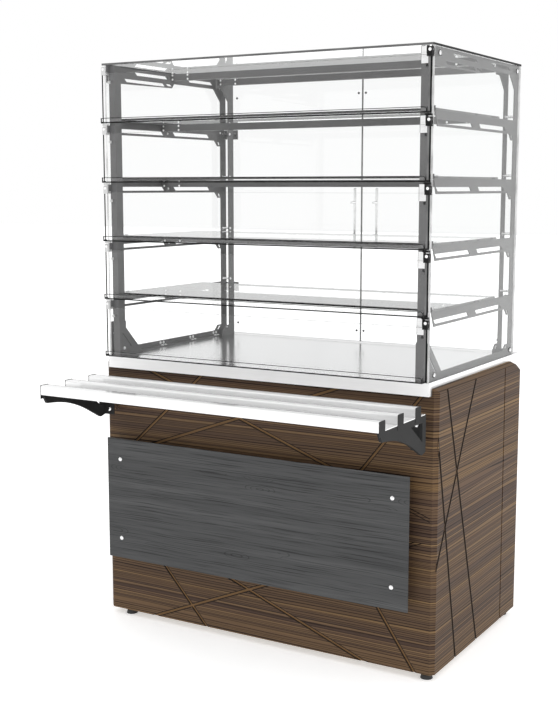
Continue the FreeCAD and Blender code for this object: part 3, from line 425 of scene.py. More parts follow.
def polished_steel():
    """Polished fittings with a faint fine wear."""
    material, tree, shader = new_material("polished_steel")
    wear = noise(tree, (60.0, 60.0, 60.0), 3.0, 0.6)
    colour = ramp(tree, wear, [(0.3, grey(0.80)), (0.7, (0.90, 0.90, 0.9045))])
    surface(tree, shader, colour, wear, 0.10, 0.20)
    bump(tree, shader, wear, 0.05)
    shader.inputs["Metallic"].default_value = 1.0
    return material


def coated(name, tone, rough, gloss):
    """Powder coat with a fine orange-peel surface."""
    material, tree, shader = new_material(name)
    peel = noise(tree, (900.0, 900.0, 900.0))
    drift = noise(tree, (6.0, 6.0, 6.0))
    colour = ramp(tree, drift, [(0.35, grey(tone * 0.94)), (0.65, grey(tone * 1.06))])
    surface(tree, shader, colour, peel, rough - 0.05, rough + 0.06)
    bump(tree, shader, peel, 0.12)
    shader.inputs["Specular IOR Level"].default_value = gloss
    return material


def moulded(name, tone, rough):
    """Dark moulded plastic or rubber with a fine grain."""
    material, tree, shader = new_material(name)
    grain = noise(tree, (700.0, 700.0, 700.0), 3.0, 0.6)
    colour = ramp(tree, grain, [(0.3, grey(tone * 0.8)), (0.7, grey(tone * 1.3))])
    surface(tree, shader, colour, grain, rough - 0.08, rough + 0.08)
    bump(tree, shader, grain, 0.2)
    return material


def clear_pane(name, tint, index):
    """Clear sheet: see-through, with a sheen on its outer faces that grows towards grazing angles."""
    material, tree, out = blank_material(name)
    through = tree.nodes.new("ShaderNodeBsdfTransparent")
    through.inputs["Color"].default_value = (*tint, 1.0)
    sheen = tree.nodes.new("ShaderNodeBsdfGlossy")
    sheen.inputs["Color"].default_value = (0.98, 0.98, 0.98, 1.0)
    haze = noise(tree, (3.0, 3.0, 3.0))
    tree.links.new(spread(tree, haze, 0.0, 0.03), sheen.inputs["Roughness"])
    fresnel = tree.nodes.new("ShaderNodeFresnel")
    fresnel.inputs["IOR"].default_value = index
    facing = tree.nodes.new("ShaderNodeNewGeometry")
    outside = step_of(tree, "SUBTRACT", 1.0, facing.outputs["Backfacing"])
    mix = tree.nodes.new("ShaderNodeMixShader")
    tree.links.new(step_of(tree, "MULTIPLY", fresnel.outputs["Fac"], outside), mix.inputs["Fac"])
    tree.links.new(through.outputs["BSDF"], mix.inputs[1])
    tree.links.new(sheen.outputs["BSDF"], mix.inputs[2])
    tree.links.new(mix.outputs["Shader"], out.inputs["Surface"])
    return material


def polished_edge(name, tone, gloss=0.4):
    """Ground edge of a clear sheet, dark where light is trapped; its tone is painted shade, and painted light
    where it is pale.
    """
    material, tree, shader = new_material(name)
    run = noise(tree, (14.0, 14.0, 14.0))
    colour = ramp(tree, run, [(0.35, grey(tone * 0.8)), (0.65, grey(tone * 1.25))])
    surface(tree, shader, colour, run, 0.22, 0.40)
    shader.inputs["Specular IOR Level"].default_value = gloss
    return material


WORKTOP_BEND = 0.8


def worktop_steel():
    """Brushed stainless sheet whose top is darker and full metal and whose turned-down edges are near white
    with little metal, as painted shade on the top and painted light on the edges.
    """
    material, tree, shader = new_material("worktop_steel")
    line = noise(tree, (2.0, 260.0, 260.0), 3.0, 0.6)
    colour = ramp(tree, line, [(0.3, grey(0.97)), (0.7, grey(1.0))])
    bend = (box_mm("worktop")[1][2] - WORKTOP_BEND) * MM
    top = step_of(tree, "GREATER_THAN", places(tree)[2], bend)
    # Painted shade on the top, painted light on the near-white edges
    surface(tree, shader, laid_over(tree, top, colour, (0.68, 0.68, 0.685)), line, 0.15, 0.20)
    tree.links.new(spread(tree, top, 0.10, 1.0, 0.0, 1.0), shader.inputs["Metallic"])
    return material


# Painted shade and painted reflection on the tray, in millimetres from its ends, its top and the front of each
# rib
RIB_FACE = 1.5
FOOT_SHADE = (5.5, 18.0)
END_SHADE = (90.0, -2.0)
CREST_DROP = 4.0
CREST_RISE = 2.0
CREST_SHADE = (21.0, 34.5)
CREST_SHARE = 0.72


def tray_steel():
    """Bright stainless tray with painted shade and painted reflection: inner ribs darken to their feet and
    right end, crests to the rear.
    """
    material, tree, shader = new_material("tray_steel")
    line = noise(tree, (2.0, 240.0, 240.0), 3.0, 0.6)
    colour = ramp(tree, line, [(0.3, grey(0.92)), (0.7, grey(0.97))])
    across, deep, tall = places(tree)
    end, _, top = box_mm("tray_slide")[1]
    faces = [inside(tree, deep, (rib - RIB_FACE) * MM, (rib + RIB_FACE) * MM) for rib in RIB_FRONTS[1:]]
    foot = spread(tree, tall, 0.0, 0.30, *((top - drop) * MM for drop in FOOT_SHADE))
    ends = spread(tree, across, 0.0, 0.40, *((end - inset) * MM for inset in END_SHADE))
    share = step_of(tree, "MULTIPLY", step_of(tree, "ADD", *faces), step_of(tree, "MAXIMUM", foot, ends))
    crest = inside(tree, tall, (top - CREST_DROP) * MM, (top + CREST_RISE) * MM)
    for rib in RIB_FRONTS:
        strip = inside(tree, deep, *((rib + reach) * MM for reach in CREST_SHADE))
        rear = step_of(tree, "MULTIPLY", step_of(tree, "MULTIPLY", crest, strip), CREST_SHARE)
        share = step_of(tree, "MAXIMUM", share, rear)
    # The dark grey laid over the steel, with less metal, is painted shade and painted reflection
    surface(tree, shader, laid_over(tree, share, colour, (0.16, 0.16, 0.165)), line, 0.10, 0.16)
    tree.links.new(spread(tree, share, 0.40, 0.15, 0.0, 0.6), shader.inputs["Metallic"])
    return material


def screw_zinc():
    """Bright zinc of the small screws, a little clouded."""
    material, tree, shader = new_material("screw_zinc")
    cloud = noise(tree, (260.0, 260.0, 260.0))
    colour = ramp(tree, cloud, [(0.35, grey(0.86)), (0.65, grey(0.95))])
    surface(tree, shader, colour, cloud, 0.28, 0.42)
    shader.inputs["Metallic"].default_value = 0.35
    return material


def pivot_plastic():
    """Pivot blocks, stops and bumpers: black on the right hand, pale on the left as painted light on the same
    black plastic.
    """
    material, tree, shader = new_material("pivot_plastic")
    grain = noise(tree, (500.0, 500.0, 500.0), 3.0, 0.6)
    black = ramp(tree, grain, [(0.3, grey(0.006)), (0.7, grey(0.011))])
    left = step_of(tree, "LESS_THAN", places(tree)[0], 0.0)
    # Pale grey on the left side is painted light
    surface(tree, shader, laid_over(tree, left, black, grey(0.62)), grain, 0.45, 0.6)
    bump(tree, shader, grain, 0.15)
    shader.inputs["Specular IOR Level"].default_value = 0.15
    return material


BARE_STRIP = (507.2, 526.8)


def hinge_steel():
    """Flap hinge plates: bare steel on the right plates' strip and on the left ears, grey like the uprights
    elsewhere as painted shade, on the left plates and the right plates' margins.
    """
    material, tree, shader = new_material("hinge_steel")
    across = places(tree)[0]
    near, far = (place * MM for place in BARE_STRIP)
    run = noise(tree, (40.0, 40.0, 400.0))
    bright = ramp(tree, run, [(0.35, grey(0.84)), (0.65, grey(0.93))])
    left_ears = step_of(tree, "LESS_THAN", across, -far)
    bare = step_of(tree, "ADD", inside(tree, across, near, far), left_ears)
    # The grey laid over the steel is painted shade and differs by side
    plain = step_of(tree, "SUBTRACT", 1.0, bare)
    surface(tree, shader, laid_over(tree, plain, bright, (0.138, 0.138, 0.140)), run, 0.32, 0.44)
    tree.links.new(step_of(tree, "MULTIPLY", bare, 0.5), shader.inputs["Metallic"])
    shader.inputs["Specular IOR Level"].default_value = 0.25
    return material


# Materials of the nodes, by slot and by node
SIDE_WOOD = striped_wood("side_wood", side_groove_places, SIDE_BARED_AND_SHADE)
PIVOT_PLASTIC = pivot_plastic()
SCREW_ZINC = screw_zinc()
MATERIALS = {
    "striped_wood": striped_wood("front_wood", front_groove_places, FRONT_BARED_AND_SHADE),
    "grey_wood": grey_wood(),
    "carcass_board": carcass_board(),
    "brushed_stainless": worktop_steel(),
    "polished_steel": polished_steel(),
    "grey_coating": coated("grey_coating", 0.132, 0.5, 0.22),
    "bracket_coating": coated("bracket_coating", 0.023, 0.55, 0.10),
    "clear_glass": clear_pane("clear_glass", (0.994, 0.997, 0.996), 1.5),
    "clear_acrylic": clear_pane("clear_acrylic", (0.995, 0.995, 0.995), 1.47),
    "black_plastic": moulded("black_plastic", 0.008, 0.5),
    "black_rubber": moulded("black_rubber", 0.02, 0.6),
}
# Edge tones set by where each strip sits: painted shade on the dark and grey edges, painted light on the pale
# ones
EDGE_DARK = polished_edge("edge_dark", 0.008, 0.08)
EDGE_GREY = polished_edge("edge_grey", 0.12)
EDGE_SHADE = polished_edge("edge_shade", 0.17, 0.1)
EDGE_PALE = polished_edge("edge_pale", 0.78)
OWN = {
    "side_panel_left": SIDE_WOOD, "side_panel_right": SIDE_WOOD, "flap_hinge_plates": hinge_steel(),
    "tray_slide": tray_steel(), "flap_stops": PIVOT_PLASTIC,
}
OWN.update({f"flap_pivots_{number}": PIVOT_PLASTIC for number in range(1, TIERS + 1)})

slots = {part["node"]: part["material_slot"] for part in frame["record"]["subparts"]}
for name, thing in nodes.items():
    thing.data.materials.clear()
    thing.data.materials.append(OWN.get(name, MATERIALS[slots[name]]))


# Shapes of the small fittings, in millimetres
SPLIT_ANGLE = math.radians(35)


def add_piece(name, mesh, slot, material=None, body=BODY, smooth=True):
    """Finish a mesh as a piece that rides on a body, with its slot's material or one of its own."""
    data = bpy.data.meshes.new(name)
    bmesh.ops.recalc_face_normals(mesh, faces=mesh.faces)
    mesh.to_mesh(data)
    mesh.free()
    data.materials.append(material or MATERIALS[slot])
    piece = bpy.data.objects.new(name, data)
    bpy.context.scene.collection.objects.link(piece)
    if smooth:
        for face in data.polygons:
            face.use_smooth = True
        piece.modifiers.new("split", "EDGE_SPLIT").split_angle = SPLIT_ANGLE
    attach(piece, body)
    return piece


def close_band(mesh, near, far):
    """Join two rings of points by a band of faces."""
    count = len(near)
    for step in range(count):
        after = (step + 1) % count
        mesh.faces.new((near[step], near[after], far[after], far[step]))


def close_rings(mesh, near, far):
    """Join two rings of points into a closed solid."""
    mesh.faces.new(list(reversed(near)))
    mesh.faces.new(far)
    close_band(mesh, near, far)


def turned(mesh, profile, spot, axis, steps=20):
    """Turn a profile of radius and height points about an axis through a spot."""
    turn = Vector(UP).rotation_difference(Vector(axis)).to_matrix().to_4x4()
    place = Matrix.Translation(Vector(spot) * MM) @ turn @ Matrix.Scale(MM, 4)
    angles = [2 * math.pi * step / steps for step in range(steps)]
    rings = []
    for radius, height in profile:
        points = [(radius * math.cos(angle), radius * math.sin(angle), height) for angle in angles]
        rings.append([mesh.verts.new(place @ Vector(point)) for point in (points if radius else points[:1])])
    for lower, upper in zip(rings, rings[1:]):
        if len(lower) == len(upper):
            close_band(mesh, lower, upper)
            continue
        ring, tip = (lower, upper[0]) if len(upper) == 1 else (upper, lower[0])
        for step in range(steps):
            mesh.faces.new((ring[step], ring[(step + 1) % steps], tip))


def dome_profile(radius, height):
    """Domed screw head with a round socket in its crown."""
    socket = radius * 0.35
    shoulder = height * 0.25
    floor = height * 0.45
    points = [(0.0, 0.0), (radius, 0.0), (radius, shoulder)]
    for step in range(1, 5):
        angle = math.pi / 2 * step / 5
        rise = (height - shoulder) * math.sin(angle)
        points.append((socket + (radius - socket) * math.cos(angle), shoulder + rise))
    return points + [(socket, height), (socket * 0.9, floor), (0.0, floor)]


def smooth_dome(radius, height):
    """Plain polished dome on a short collar."""
    collar = height * 0.2
    points = [(0.0, 0.0), (radius, 0.0), (radius, collar)]
    for step in range(1, 8):
        angle = math.pi / 2 * step / 8
        points.append((radius * math.cos(angle), collar + (height - collar) * math.sin(angle)))
    return points + [(0.0, height)]


def ring_at(mesh, axis, place, outline):
    """Put the points of an outline at a place along an axis."""
    ring = []
    for first, second in outline:
        spot = [first, second]
        spot.insert(axis, place)
        ring.append(mesh.verts.new(Vector(spot) * MM))
    return ring


def plate(mesh, axis, low, high, outline):
    """Push an outline through an axis into a closed plate."""
    close_rings(mesh, ring_at(mesh, axis, low, outline), ring_at(mesh, axis, high, outline))


def rectangle(low, high, lower, upper):
    """Outline of a rectangle."""
    return [(low, lower), (high, lower), (high, upper), (low, upper)]


def rounded(low, high, lower, upper, radius, steps=5):
    """Outline of an upright rectangle with round upper corners."""
    points = [(low, lower), (high, lower)]
    base = upper - radius
    arc = []
    for step in range(steps + 1):
        angle = math.pi / 2 * step / steps
        arc.append((radius * math.cos(angle), radius * math.sin(angle)))
    points += [(high - radius + near, base + far) for near, far in arc]
    points += [(low + radius - far, base + near) for near, far in arc]
    return points


def outline_strip(mesh, front, back, outer, inner):
    """Close two outlines of equal length into a thin strip along the XZ plane."""
    loops = ((outer, front), (inner, front), (inner, back), (outer, back))
    rings = [ring_at(mesh, 1, place, outline) for outline, place in loops]
    for near, far in zip(rings, rings[1:] + rings[:1]):
        close_band(mesh, near, far)


def heads(name, spots, size, body=BODY):
    """Make a set of domed socket screws of one radius and height, each at a spot with its own axis."""
    mesh = bmesh.new()
    for spot, axis in spots:
        turned(mesh, dome_profile(*size), spot, axis)
    add_piece(name, mesh, "polished_steel", SCREW_ZINC, body)


def both_sides(spots_of):
    """Gather the spots that a function gives for the left and the right side."""
    return [spot for side in SIDES for spot in spots_of(side)]


# Thin strips that stand for the polished edges of the sheets, toned with painted shade and painted light
STRIP_LOW = 0.05
STRIP_HIGH = 0.35
ARRIS = 0.3


def on_face(face, way):
    """Low and high plane of a strip on a face that looks along an axis or against it."""
    return sorted((face + way * STRIP_LOW, face + way * STRIP_HIGH))


def edges_of(name, node, faces, material, body=BODY):
    """Lay strips with an arris on a sheet's edges; each face is an axis letter with a sign."""
    mesh = bmesh.new()
    low, high = box_mm(node)
    for letter, sign in faces:
        axis = "xyz".index(letter)
        first, second = [index for index in range(3) if index != axis]
        start, way = (high[axis], 1) if sign == "+" else (low[axis], -1)
        rings = []
        for rise, inset in ((STRIP_LOW, 0.0), (STRIP_HIGH, ARRIS)):
            ends = (low[first] + inset, high[first] - inset, low[second] + inset, high[second] - inset)
            rings.append(ring_at(mesh, axis, start + way * rise, rectangle(*ends)))
        close_rings(mesh, *rings)
    add_piece(name, mesh, "clear_glass", material, body, smooth=False)


def add_glass_edges():
    """Edges of the top, the sides, the doors and the shelves."""
    edges_of("top_glass_edges", "top_glass", ("x-", "x+"), EDGE_DARK)
    edges_of("top_glass_front_edge", "top_glass", ("y-", "y+"), EDGE_GREY)
    for hand in ("left", "right"):
        door = f"rear_door_{hand}"
        edges_of(f"side_glass_edges_{hand}", f"side_glass_{hand}", ("y-", "y+", "z-"), EDGE_PALE)
        edges_of(f"door_edges_{hand}", door, ("x-", "x+"), EDGE_GREY, door)
        edges_of(f"door_ends_{hand}", door, ("z-", "z+"), EDGE_PALE, door)
    for tier in range(1, TIERS):
        edges_of(f"shelf_edges_{tier}", f"shelf_glass_{tier}", ("y-",), EDGE_DARK)
        edges_of(f"shelf_ends_{tier}", f"shelf_glass_{tier}", ("x-", "x+", "y+"), EDGE_GREY)


# Flaps: the sheet, its bent lip, the line drawn round the lip, and insets of the upright lines from the sides
FLAP_SHEET = 5.0
LIP_INSET = 8.0
LIP_HEIGHT = 16.0
LIP_ROUND = 8.0
LIP_LINE_SIDE = 2.2
LIP_LINE_FOOT = 3.6
LIP_LINE_HEAD = 1.8
LIP_LINE_ROUND = 6.0
RIGHT_LINE = (7.4, 2.4)
LEFT_LINE = (0.0, 4.4)
RIGHT_SHADE = (13.2, 7.5)
PIVOT_SCREW = (4.4, 1.0)
PIVOT_SCREW_INSET = 6.0
PIVOT_DROP = 12.0


def upright_strip(mesh, number, side, insets):
    """Lay an upright strip on the front of a flap, between two insets from one of its sides."""
    (_, _, foot), (half, back, head) = box_mm(f"flap_{number}")
    near, far = (side * (half - inset) for inset in insets)
    plate(mesh, 1, *on_face(back - FLAP_SHEET, -1), rectangle(near, far, foot, head))


def add_flap_edges(number):
    """Dark lines of a flap: along its sides, at the ends of the lip and round the front of the lip."""
    (_, lip, foot), (half, back, _) = box_mm(f"flap_{number}")
    lip_half = half - LIP_INSET
    line_half = lip_half - LIP_LINE_SIDE
    front = back - FLAP_SHEET
    bend = foot + FLAP_SHEET
    rim = foot + LIP_HEIGHT
    mesh = bmesh.new()
    upright_strip(mesh, number, 1, RIGHT_LINE)
    upright_strip(mesh, number, -1, LEFT_LINE)
    behind = lip + FLAP_SHEET
    hook = [(lip, foot), (front, foot), (front, bend), (behind, bend), (behind, rim), (lip, rim)]
    for side in (1, -1):
        plate(mesh, 0, *on_face(side * lip_half, side), hook)
    outer = rounded(-lip_half, lip_half, foot, rim, LIP_ROUND)
    inner = rounded(-line_half, line_half, foot + LIP_LINE_FOOT, rim - LIP_LINE_HEAD, LIP_LINE_ROUND)
    outline_strip(mesh, *on_face(lip, -1), outer, inner)
    add_piece(f"flap_edges_{number}", mesh, "clear_acrylic", EDGE_DARK, f"flap_{number}", smooth=False)


def add_flap_shade(number):
    """Grey strip of painted shade beside the right dark line."""
    mesh = bmesh.new()
    upright_strip(mesh, number, 1, RIGHT_SHADE)
    add_piece(f"flap_shade_{number}", mesh, "clear_acrylic", EDGE_SHADE, f"flap_{number}", smooth=False)


def add_flap_head(number):
    """Upper edge of a flap."""
    low, (half, back, head) = box_mm(f"flap_{number}")
    mesh = bmesh.new()
    plate(mesh, 2, *on_face(head, 1), rectangle(low[0], half, back - FLAP_SHEET, back))
    add_piece(f"flap_head_{number}", mesh, "clear_acrylic", EDGE_GREY, f"flap_{number}", smooth=False)


def add_pivot_screws(number):
    """Screws in the front of a flap's two pivot blocks."""
    (_, front, _), (half, _, _) = box_mm(f"flap_pivots_{number}")
    height = LEVELS[number - 1] - PIVOT_DROP
    spots = [((side * (half - PIVOT_SCREW_INSET), front, height), FORWARD) for side in SIDES]
    heads(f"pivot_screws_{number}", spots, PIVOT_SCREW, f"flap_{number}")


# Bumpers on the hinge ears, under the flap above: heights count from the level of a shelf
EAR_SHEET = 3.0
EAR_TOP = -1.0
BUMPER_LIP = 0.5
BUMPER_FOOT = -3.1
BUMPER_FOOT_END = 3.7
BUMPER_RELIEF = -2.2
BUMPER_RELIEF_START = 4.4
BUMPER_TOP = 3.8
BUMPER_BEVEL = 1.4


def add_bumpers():
    """A bumper on each hinge ear, relieved over the pivot block."""
    ear = box_mm("front_upright_right")[1][0]
    near = ear - EAR_SHEET
    far = box_mm("flap_pivots_1")[1][0]
    front = box_mm("flap_hinge_plates")[0][1] - BUMPER_LIP
    rear = box_mm("flap_1")[1][1] + BUMPER_LIP
    shoulder = BUMPER_TOP - BUMPER_BEVEL
    section = [
        (near, EAR_TOP), (ear, EAR_TOP), (ear, BUMPER_FOOT), (ear + BUMPER_FOOT_END, BUMPER_FOOT),
        (ear + BUMPER_RELIEF_START, BUMPER_RELIEF), (far, BUMPER_RELIEF), (far, shoulder),
        (far - BUMPER_BEVEL, BUMPER_TOP), (near + BUMPER_BEVEL, BUMPER_TOP), (near, shoulder),
    ]
    mesh = bmesh.new()
    for level in SHELF_LEVELS:
        for side in SIDES:
            plate(mesh, 1, front, rear, [(side * x, level + z) for x, z in section])
    add_piece("flap_bumpers", mesh, "black_plastic", PIVOT_PLASTIC, smooth=False)


# Screws of the frame: radius and height of each kind, and places from the ends of the pieces they hold;
# arm screws have an inset from the frame's rear and a height from their level
BASE_SCREW = (5.0, 3.2)
BASE_PAIRS = (220.0, 393.0, 537.0)
BASE_PAIR_STEP = 17.0
ANGLE_SHEET = 3.0
ANGLE_FLAT_INSET = 8.0
ANGLE_LEG_RISE = 11.0
GUSSET_INSET_Y = 21.0
GUSSET_INSET_Z = 22.0
POST_SCREW = (4.5, 3.0)
SPACER_RISE = -4.0
TUBE_RISE = 26.0
ARM_SCREW = (3.6, 2.4)
TOP_RAIL_SCREWS = ((38.0, -9.0), (38.0, -24.0))
SHELF_ARM_SCREWS = ((351.0, -13.5), (36.0, 0.0))
LAP_SCREW = (3.4, 1.6)
LAP_SHEET = 2.0
LAP_MIDDLE_INSET = 37.5
LAP_SCREW_ACROSS = (-30.0, 30.0)
LAP_SCREW_UP = (-6.5, 6.5)


def spacer_line():
    """Depth at which the spacers stand between the rear posts and the side frames."""
    low, high = box_mm("post_spacers")
    return (low[1] + high[1]) / 2


def base_spots(side):
    """Screws in both legs of a worktop angle, and one in the front gusset."""
    low, high = box_mm("base_angle_right")
    flat = (side * (low[0] + ANGLE_FLAT_INSET), low[2] + ANGLE_SHEET)
    leg = (side * (high[0] - ANGLE_SHEET), low[2] + ANGLE_LEG_RISE)
    spots = []
    for start in BASE_PAIRS:
        for y in (low[1] + start, low[1] + start + BASE_PAIR_STEP):
            spots.append(((flat[0], y, flat[1]), UP))
            spots.append(((leg[0], y, leg[1]), (-side, 0, 0)))
    _, front, foot = box_mm("front_gussets")[0]
    spots.append(((side * POST_FACE, front + GUSSET_INSET_Y, foot + GUSSET_INSET_Z), (-side, 0, 0)))
    return spots


def post_spots(side):
    """Screws in a rear post, at the ends of the spacers."""
    heights = [level + up for level in SHELF_LEVELS for up in (SPACER_RISE, TUBE_RISE)]
    return [((side * POST_FACE, spacer_line(), height), (-side, 0, 0)) for height in heights]


def arm_spots(side):
    """Screws on the inner face of a side frame, in its top rail and its shelf arms."""
    rows = [(FRAME_TOP, TOP_RAIL_SCREWS)] + [(level, SHELF_ARM_SCREWS) for level in SHELF_LEVELS]
    spots = [(FRAME_REAR - inset, level + up) for level, screws in rows for inset, up in screws]
    return [((side * FRAME_FACE, y, z), (-side, 0, 0)) for y, z in spots]


def lap_spots(side):
    """Four screws in each lapped end of the cross beams."""
    half_beam = (FRAME_TOP - box_mm("top_beam_middle")[0][2]) / 2
    spots = []
    for beam, rows in (("top_beam_middle", 1), ("top_beam_rear", 1), ("shelf_beams", TIERS - 1)):
        low, high = box_mm(beam)
        x = side * (high[0] - LAP_MIDDLE_INSET)
        y = low[1] - LAP_SHEET
        for row in range(rows):
            z = high[2] - half_beam - row * TIER_HEIGHT
            for across in LAP_SCREW_ACROSS:
                spots += [((x + across, y, z + up), FORWARD) for up in LAP_SCREW_UP]
    return spots


def add_frame_screws():
    """The four kinds of screws in the frame."""
    heads("base_screws", both_sides(base_spots), BASE_SCREW)
    heads("post_screws", both_sides(post_spots), POST_SCREW)
    heads("arm_screws", both_sides(arm_spots), ARM_SCREW)
    heads("lap_screws", both_sides(lap_spots), LAP_SCREW)


TUBE_COLLAR = ((0.0, 0.0), (5.6, 0.0), (5.6, 2.0), (4.0, 2.8))


def add_spacer_tubes():
    """Tubes with collared ends between the rear posts and legs, above each shelf."""
    length = FRAME_FACE - POST_BACK
    profile = [*TUBE_COLLAR, *((radius, length - height) for radius, height in reversed(TUBE_COLLAR))]
    mesh = bmesh.new()
    for level in SHELF_LEVELS:
        for side in SIDES:
            turned(mesh, profile, (side * POST_BACK, spacer_line(), level + TUBE_RISE), (side, 0, 0))
    add_piece("spacer_tubes", mesh, "polished_steel")


# Bolts of the side glass: insets from its corners, the cap's radius and height, the washer's profile
BOLT_INSET_Y = 32.0
BOLT_INSET_Z = 17.0
BOLT_CAP = (6.6, 4.0)
BOLT_WASHER = ((0.0, 0.0), (8.0, 0.0), (8.0, 1.0), (7.4, 1.5), (0.0, 1.5))


def add_glass_bolts():
    """Domed caps on washers that hold the side glass."""
    low, high = box_mm("side_glass_right")
    caps = bmesh.new()
    washers = bmesh.new()
    for side in SIDES:
        for y in (low[1] + BOLT_INSET_Y, high[1] - BOLT_INSET_Y):
            for z in (low[2] + BOLT_INSET_Z, high[2] - BOLT_INSET_Z):
                spot = (side * high[0], y, z)
                turned(washers, BOLT_WASHER, spot, (side, 0, 0))
                turned(caps, smooth_dome(*BOLT_CAP), spot, (side, 0, 0))
    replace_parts(add_piece("glass_bolt_caps", caps, "polished_steel"), "glass_bolts")
    add_piece("glass_bolt_washers", washers, "black_rubber")


# Domed heads: insets from the overlay's corners, places on the tray brackets, radius and height
OVERLAY_INSET_X = 50.0
OVERLAY_INSET_Z = 65.0
OVERLAY_DOME = (7.0, 4.6)
BRACKET_DOME_X = 524.5
BRACKET_DOME_Z = (739.0, 684.0)
BRACKET_DOME = (7.0, 4.0)
DOME_STEPS = 28


def add_standoff_domes():
    """Domed heads on the overlay and the tray brackets."""
    low, high = box_mm("overlay_panel")
    bracket_face = box_mm("standoff_heads")[1][1]
    mesh = bmesh.new()
    for x in (low[0] + OVERLAY_INSET_X, high[0] - OVERLAY_INSET_X):
        for z in (low[2] + OVERLAY_INSET_Z, high[2] - OVERLAY_INSET_Z):
            turned(mesh, smooth_dome(*OVERLAY_DOME), (x, low[1], z), FORWARD, DOME_STEPS)
    for side in SIDES:
        for z in BRACKET_DOME_Z:
            spot = (side * BRACKET_DOME_X, bracket_face, z)
            turned(mesh, smooth_dome(*BRACKET_DOME), spot, FORWARD, DOME_STEPS)
    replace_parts(add_piece("standoff_domes", mesh, "polished_steel"), "standoff_heads")


# End plates of the tray: thickness and overlap, how far they reach below and above it, round of the corners
END_SHEET = 0.9
END_REACH = 12.0
END_RISE = 1.0
END_ROUND = 3.0


def add_tray_ends():
    """Dark end plates that close the tray ribs."""
    low, high = box_mm("tray_slide")
    mesh = bmesh.new()
    for start, end in ((low[0] - END_SHEET, low[0]), (high[0], high[0] + END_SHEET)):
        for front in RIB_FRONTS:
            ends = (front - END_SHEET, front + RIB_WIDTH + END_SHEET, low[2] - END_REACH, high[2] + END_RISE)
            plate(mesh, 0, start, end, rounded(*ends, END_ROUND))
    add_piece("tray_end_plates", mesh, "bracket_coating", smooth=False)


# Soft buffers and clamp screws: profiles or sizes, and insets on the shelves, doors and clamps
SHELF_BUFFER = ((0.0, 0.0), (6.0, 0.0), (6.0, 1.2), (4.6, 2.8), (2.0, 3.2), (0.0, 3.2))
SHELF_BUFFER_INSET = 11.0
SHELF_BUFFER_STEPS = (16.0, 39.0)
DOOR_BUFFER = ((0.0, 0.0), (4.0, 0.0), (3.8, 1.4), (2.4, 2.3), (0.0, 2.5))
DOOR_INSET_MEETING = 11.5
DOOR_INSET_HINGE = 37.5
DOOR_INSET_FOOT = 37.0
DOOR_INSET_HEAD = 60.0
CLAMP_SCREW = (4.2, 2.0)
CLAMP_SCREW_STEPS = (7.5, 24.5)
CLAMP_INSET_Z = 16.0


def add_shelf_buffers():
    """Pairs of buffers near the front corners of each shelf."""
    mesh = bmesh.new()
    for tier in range(1, TIERS):
        low, high = box_mm(f"shelf_glass_{tier}")
        for x in (low[0] + SHELF_BUFFER_INSET, high[0] - SHELF_BUFFER_INSET):
            for step in SHELF_BUFFER_STEPS:
                turned(mesh, SHELF_BUFFER, (x, low[1] + step, high[2]), UP)
    add_piece("shelf_buffers", mesh, "black_rubber", EDGE_PALE)


def add_door_fittings(hand, side):
    """Buffers inside a door and screws in its hinge clamps, placed as on the right door."""
    low, high = box_mm("rear_door_right")
    mesh = bmesh.new()
    for x in (low[0] + DOOR_INSET_MEETING, high[0] - DOOR_INSET_HINGE):
        for z in (low[2] + DOOR_INSET_FOOT, high[2] - DOOR_INSET_HEAD):
            turned(mesh, DOOR_BUFFER, (side * x, low[1], z), FORWARD)
    add_piece(f"door_buffers_{hand}", mesh, "black_rubber", EDGE_GREY, f"rear_door_{hand}")
    low, high = box_mm("door_clamps_right")
    heights = (low[2] + CLAMP_INSET_Z, high[2] - CLAMP_INSET_Z)
    spots = [((side * (low[0] + x), high[1], z), BACKWARD) for x in CLAMP_SCREW_STEPS for z in heights]
    heads(f"door_clamp_screws_{hand}", spots, CLAMP_SCREW, f"rear_door_{hand}")


add_glass_edges()
for number in range(1, TIERS + 1):
    add_flap_edges(number)
    add_flap_shade(number)
    add_flap_head(number)
    add_pivot_screws(number)
add_bumpers()
add_frame_screws()
add_spacer_tubes()
add_glass_bolts()
add_standoff_domes()
add_tray_ends()
add_shelf_buffers()
add_door_fittings("left", -1)
add_door_fittings("right", 1)


# Light, floor and camera, in metres and degrees
KEY_PLACE = (4.6, -1.0, 2.6)
KEY_TARGET = (0.5, 0.1, 0.9)
KEY_SIZE = 2.6
KEY_POWER = 46.0
FLOOR_HALF = 30.0
FLOOR_DROP = 0.5 * MM
FLOOR_GLOW = 0.40
CAMERA_PLACE = (1.8205, -3.1618, 1.3748)
CAMERA_YAW = 30.51
CAMERA_PITCH = 8.21
LENS = 60.09
SENSOR = 36.0
VIEW_REACH = 200.0


def aim(thing, direction):
    """Turn a lamp or a camera to look along a direction, and put it in the scene."""
    thing.rotation_mode = "QUATERNION"
    thing.rotation_quaternion = direction.to_track_quat("-Z", "Y")
    bpy.context.scene.collection.objects.link(thing)


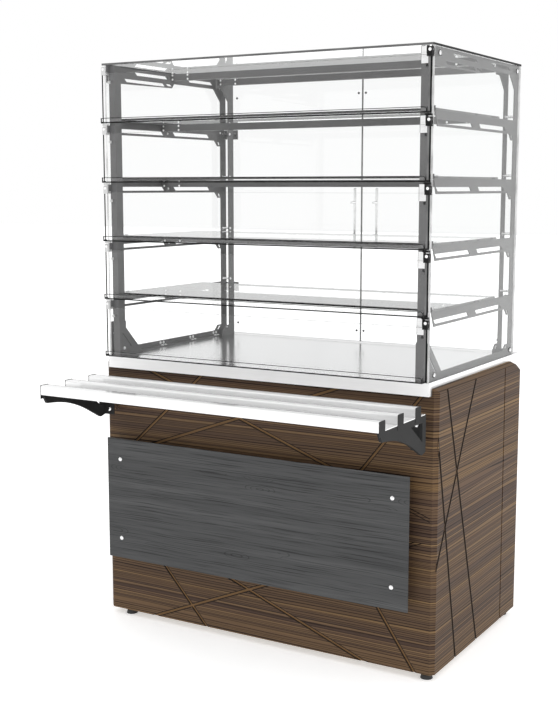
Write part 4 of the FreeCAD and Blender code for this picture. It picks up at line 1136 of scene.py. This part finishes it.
def make_key_light():
    """One soft square lamp from the right."""
    lamp = bpy.data.lights.new("key", "AREA")
    lamp.size = KEY_SIZE
    lamp.energy = KEY_POWER
    thing = bpy.data.objects.new("key", lamp)
    thing.visible_glossy = False
    thing.location = KEY_PLACE
    aim(thing, Vector(KEY_TARGET) - Vector(KEY_PLACE))


def make_world():
    """Even white surroundings."""
    world = bpy.data.worlds.new("studio")
    world.use_nodes = True
    back = world.node_tree.nodes["Background"]
    back.inputs["Color"].default_value = (1.0, 1.0, 1.0, 1.0)
    back.inputs["Strength"].default_value = 1.0
    bpy.context.scene.world = world


def floor_material():
    """White floor with a faint cloud, glowing a little."""
    material, tree, shader = new_material("pale_floor")
    cloud = noise(tree, (0.6, 0.6, 0.6))
    colour = ramp(tree, cloud, [(0.3, grey(0.88)), (0.7, grey(0.92))])
    tree.links.new(colour, shader.inputs["Base Color"])
    shader.inputs["Roughness"].default_value = 0.9
    shader.inputs["Emission Color"].default_value = (1.0, 1.0, 1.0, 1.0)
    shader.inputs["Emission Strength"].default_value = FLOOR_GLOW
    return material


def make_floor():
    """Wide plain floor just under the feet."""
    mesh = bmesh.new()
    corners = rectangle(-FLOOR_HALF, FLOOR_HALF, -FLOOR_HALF, FLOOR_HALF)
    mesh.faces.new([mesh.verts.new((x, y, -FLOOR_DROP)) for x, y in corners])
    data = bpy.data.meshes.new("floor")
    mesh.to_mesh(data)
    mesh.free()
    data.materials.append(floor_material())
    floor = bpy.data.objects.new("floor", data)
    bpy.context.scene.collection.objects.link(floor)


def make_camera():
    """Camera at the photograph's place and angle."""
    yaw = math.radians(CAMERA_YAW)
    pitch = math.radians(CAMERA_PITCH)
    level = math.cos(pitch)
    lens = bpy.data.cameras.new("camera")
    lens.sensor_width = SENSOR
    lens.lens = LENS
    lens.clip_end = VIEW_REACH
    camera = bpy.data.objects.new("camera", lens)
    camera.location = CAMERA_PLACE
    aim(camera, Vector((-math.sin(yaw) * level, math.cos(yaw) * level, -math.sin(pitch))))
    bpy.context.scene.camera = camera


make_world()
make_floor()
make_camera()
make_key_light()
bpy.context.scene.view_settings.view_transform = "Standard"
